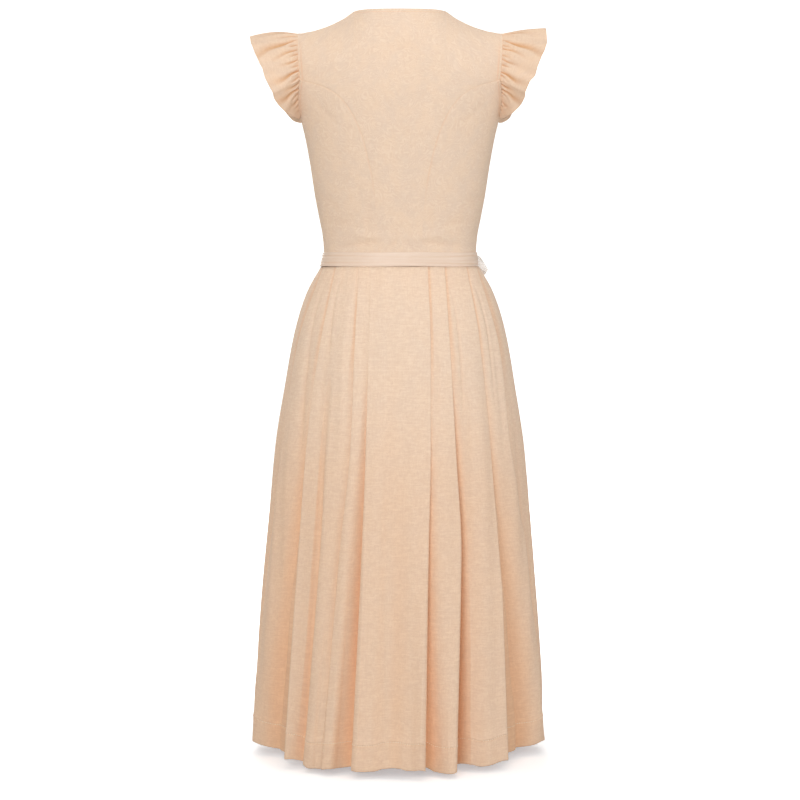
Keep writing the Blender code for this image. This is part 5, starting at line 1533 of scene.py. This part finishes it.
class DIRNDL_OT_bow(bpy.types.Operator):
    """Make the bow: a knot, two loops and two ends"""
    bl_idname = "dirndl.bow"
    bl_label = "Bow"

    def execute(self, context):
        r = context.scene.dirndl_ribbon
        finish = satin("sheer_ribbon", r.bow_colour, r.sheer, 0.42, TAIL_WIDTH / 2 - 0.0018)
        base, along, outward = knot_frame()
        grid = knot_grid(base + outward * (KNOT_SIZE[1] / 2 + SEAM_GAP), (along, outward, UP))
        rows, cols = grid.shape[:2]
        places = np.stack(np.broadcast_arrays(np.arange(cols) * 0.001, grid[..., 2]), axis=-1)
        knot = mesh_from("bow_knot_ribbon", grid.reshape(-1, 3),
                         quads(rows, cols, closed=True)[:, ::-1], places.reshape(-1, 2), finish)
        stands_for(knot, "ivory_ribbon", "bow_knot")
        ribbons = [(node, "folded", loop_grid(base, way, outward, length, droop))
                   for node, way, length, droop in zip(
                       ("bow_loop_front", "bow_loop_side"), (along, -along),
                       LOOP_LENGTHS, LOOP_DROOPS)]
        ribbons += [(node, "hung", tail_grid(lean, out, length, base[2]))
                    for node, lean, out, length in zip(
                        ("bow_tail_a", "bow_tail_b"), TAIL_LEAN, TAIL_OUT, TAIL_LENGTHS)]
        for node, held, grid in ribbons:
            piece = shell(node + "_ribbon", grid, grid_normals(grid, outward), r.thickness,
                          cloth_map(grid)[..., ::-1], finish)
            stands_for(piece, "ivory_ribbon", node)
            "bow_tail" if held == "hung" else node
        return {"FINISHED"}


class DIRNDL_OT_buttons(bpy.types.Operator):
    """Make the covered buttons of the front"""
    bl_idname = "dirndl.buttons"
    bl_label = "Covered buttons"

    def execute(self, context):
        grid, _ = front_grid(True)
        centre, rows = np.argmin(np.abs(grid[..., 0]), axis=1), np.arange(len(grid))
        out = grid_normals(grid, FRONT_WAY)[rows, centre]
        line = grid[rows, centre] + out * (SOLID_CLOTH / 2 + BUTTON_CLEAR)
        heights = np.linspace(BUTTON_TOP_Z, BUTTON_BOTTOM_Z, BUTTON_COUNT)
        y, lean = [np.interp(-heights, -line[:, 2], v)
                   for v in (line[:, 1], np.gradient(line[:, 1], line[:, 2]))]
        wide, rise = BUTTON_PROFILE.T[..., None, None]
        sides, aside = 40, np.array([1.0, 0.0, 0.0])
        turn = circle_turns(sides)[:, None]
        each = len(BUTTON_PROFILE) * sides
        made, faces, places = [], [], []
        for k, z in enumerate(heights):
            up = unit(np.array([0.0, lean[k], 1.0]))
            circle = np.cos(turn) * aside + np.sin(turn) * up
            disc = np.array([0.0, y[k], z]) + circle * BUTTON_RADIUS * wide
            made.append(disc + np.cross(aside, up) * BUTTON_RISE * rise)
            faces.append(quads(len(BUTTON_PROFILE), sides, closed=True) + k * each)
            places.append((circle * BUTTON_RADIUS * 1.3 * wide)[..., [0, 2]] + (0.03 * k, 0))
        # Painted shade round each button's lower rim, next to the cloth.
        rim = np.repeat(0.8 * bell((np.arange(len(BUTTON_PROFILE)) - 1.6) / 1.3), sides)
        piece = mesh_from("front_buttons", np.reshape(made, (-1, 3)), np.concatenate(faces),
                          np.reshape(places, (-1, 2)), cloth_finish("bodice"),
                          np.tile(rim, BUTTON_COUNT))
        stands_for(piece, "button_cover", *[f"button_{k + 1}" for k in range(BUTTON_COUNT)])
        return {"FINISHED"}


class DIRNDL_OT_sewing(bpy.types.Operator):
    """Make the topstitching round the armholes and down the front edge"""
    bl_idname = "dirndl.sewing"
    bl_label = "Topstitching"

    def execute(self, context):
        c = context.scene.dirndl_cloth
        for side, word in ((1, "back"), (-1, "front")):
            line = armhole_line(side, 160)
            way = unit(np.gradient(line, axis=0))
            out = unit(line * np.array([0.35, 1.0, 0.0]) + np.array([0.06, 0.0, 0.03]))
            inward = unit(np.cross(out, way)) * side
            up = unit(np.cross(way, inward)) * side
            seat = line + inward * ARMHOLE_STITCH + up * (c.thickness / 2)
            for hand, mirror in (("l", 1), ("r", MIRROR)):
                sew(f"armhole_{word}_stitches_{hand}", seat * mirror, up * mirror, c.stitch)
        for hand, mirror in (("l", 1), ("r", MIRROR)):
            grid, _ = front_grid(hand == "r")
            width = edge_lengths(grid, 1)
            rows = np.arange(len(grid))[4:]
            near = np.argmin(np.abs(width - ARMHOLE_STITCH), axis=1)[4:]
            up = grid_normals(grid, FRONT_WAY)[rows, near]
            low, high = np.maximum(near - 1, 0), near + 1
            share = (ARMHOLE_STITCH - width[rows, low]) / (width[rows, high] - width[rows, low])
            share = share[:, None]
            seat = grid[rows, low] * (1 - share) + grid[rows, high] * share + up * c.thickness / 2
            seen = seat[:, 2] > BELT_TOP_Z + 0.003
            sew(f"front_edge_stitches_{hand}", (seat * mirror)[seen], (up * mirror)[seen], c.stitch)
        return {"FINISHED"}


class DIRNDL_OT_stage(bpy.types.Operator):
    """Make the floor, the backdrop, the lights and the camera"""
    bl_idname = "dirndl.stage"
    bl_label = "Studio"

    def execute(self, context):
        s = context.scene.dirndl_stage
        ground = np.array([(-1, 1, 0), (1, 1, 0), (1, -1, 0), (-1, -1, 0)]) * STAGE_HALF
        ground[:, 2] = HEM_Z - s.floor_gap
        # The floor glows with painted light, dimmer near the garment so that the shadow shows.
        floor = self.sheet("studio_floor", ground, [(0, 1, 2, 3)], 0.92, 0.38)
        ring = ground * np.array([0.99, 0.99, 1.0])
        corners = np.concatenate([ring - 2.0 * UP, ring + 12.0 * UP])
        sides = [(k, k + 4, (k + 1) % 4 + 4, (k + 1) % 4) for k in range(4)]
        wall = self.sheet("studio_backdrop", corners, sides, 0.9, 1.0)
        for kind in ("diffuse", "glossy", "shadow", "transmission"):
            setattr(wall, "visible_" + kind, False)
        floor.visible_diffuse = False
        white = (1.0, 1.0, 1.0)
        for name, place, size, power, colour in (
                ("key_light", (0.7, 3.9, 0.7), 2.2, s.key, white),
                ("fill_light", (-3.0, 1.7, 0.1), 2.0, s.fill, white),
                ("side_light", (3.0, 1.4, 0.1), 2.0, s.side, s.side_colour),
                ("top_light", (0.0, 0.4, 2.6), 2.6, s.top, white),
                ("front_light", (0.6, -3.2, 0.8), 2.4, s.front, white)):
            self.light(name, place, size, power, colour)
        world = bpy.data.worlds.new("studio_air")
        world.use_nodes = True
        sky = world.node_tree.nodes["Background"].inputs
        sky["Color"].default_value, sky["Strength"].default_value = opaque(s.sky_colour), s.sky
        context.scene.world = world
        context.scene.view_settings.view_transform = "Standard"
        data = bpy.data.cameras.new("photo_camera")
        data.lens, data.sensor_width = s.lens, 36.0
        camera = bpy.data.objects.new("photo_camera", data)
        camera.location = (0.0, s.distance, s.height)
        camera.rotation_euler = (math.pi / 2 - s.tilt, 0.0, math.pi)
        context.scene.collection.objects.link(camera)
        context.scene.camera = camera
        return {"FINISHED"}

    def sheet(self, name, corners, faces, albedo, glow):
        """Flat pale sheets of the studio, with painted light: they glow softly, and white away from
        the garment.
        """
        mesh = bpy.data.meshes.new(name)
        mesh.from_pydata(corners.tolist(), [], faces)
        f = Finish(name + "_paint")
        place = f.node("ShaderNodeTexCoord").outputs["Object"]
        base = f.mix(f.noise(place) * 0.05, (albedo, albedo, albedo, 1.0),
                     (albedo * 0.97, albedo * 0.97, albedo * 0.97, 1.0))
        flat = f.node(
            "ShaderNodeVectorMath", {"operation": "MULTIPLY"}, {0: place, 1: tuple(LEVEL)})
        away = f.node("ShaderNodeVectorMath", {"operation": "LENGTH"}, {0: flat.outputs[0]})
        # Painted light: the sheet glows, slightly cool and dimmer near the garment, white further
        # out.
        light = f.mix(Value(f, away.outputs["Value"]).ramp(0.22, 0.62),
                      (glow * 0.95, glow, glow * 1.06, 1.0), (1.0, 1.0, 1.0, 1.0))
        f.set(Base_Color=base, Roughness=0.9, Emission_Strength=1.0, Emission_Color=light)
        mesh.materials.append(f.material)
        sheet = bpy.data.objects.new(name, mesh)
        bpy.context.scene.collection.objects.link(sheet)
        return sheet

    def light(self, name, place, size, power, colour):
        """A square soft light that faces the middle of the garment."""
        data = bpy.data.lights.new(name, "AREA")
        data.shape, data.size, data.energy, data.color = "SQUARE", size, power, colour
        lamp = bpy.data.objects.new(name, data)
        lamp.location = place
        way = np.array([0.0, 0.0, -0.55]) - np.array(place)
        level = math.hypot(way[0], way[1])
        turn = math.atan2(way[1], way[0]) - math.pi / 2
        lamp.rotation_euler = (math.atan2(level, -way[2]), 0.0, turn)
        bpy.context.scene.collection.objects.link(lamp)


OPERATORS = (
    DIRNDL_OT_back, DIRNDL_OT_sides, DIRNDL_OT_fronts, DIRNDL_OT_ruffles, DIRNDL_OT_skirt,
    DIRNDL_OT_belt, DIRNDL_OT_bow, DIRNDL_OT_buttons, DIRNDL_OT_sewing, DIRNDL_OT_stage,
)
GROUPS = {"dirndl_cloth": DirndlCloth, "dirndl_ribbon": DirndlRibbon, "dirndl_stage": DirndlStage}


class DIRNDL_PT_panel(bpy.types.Panel):
    """Lists the garment's pieces and their settings"""
    bl_idname = "DIRNDL_PT_panel"
    bl_label = "Dirndl"
    bl_space_type = "VIEW_3D"
    bl_region_type = "UI"
    bl_category = "Dirndl"

    def draw(self, context):
        for name, group in GROUPS.items():
            box = self.layout.box()
            for each in group.__annotations__:
                box.prop(getattr(context.scene, name), each)
        for operator in OPERATORS:
            self.layout.operator(operator.bl_idname)


def register():
    for name, group in GROUPS.items():
        bpy.utils.register_class(group)
        setattr(bpy.types.Scene, name, PointerProperty(type=group))
    for each in OPERATORS + (DIRNDL_PT_panel,):
        bpy.utils.register_class(each)


def unregister():
    for each in reversed(OPERATORS + (DIRNDL_PT_panel,)):
        bpy.utils.unregister_class(each)
    for name, group in GROUPS.items():
        delattr(bpy.types.Scene, name)
        bpy.utils.unregister_class(group)


def main():
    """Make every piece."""
    register()
    for operator in OPERATORS:
        family, name = operator.bl_idname.split(".")
        if getattr(getattr(bpy.ops, family), name)() != {"FINISHED"}:
            raise RuntimeError(operator.bl_label + " was not made")


if __name__ == "__main__":
    main()
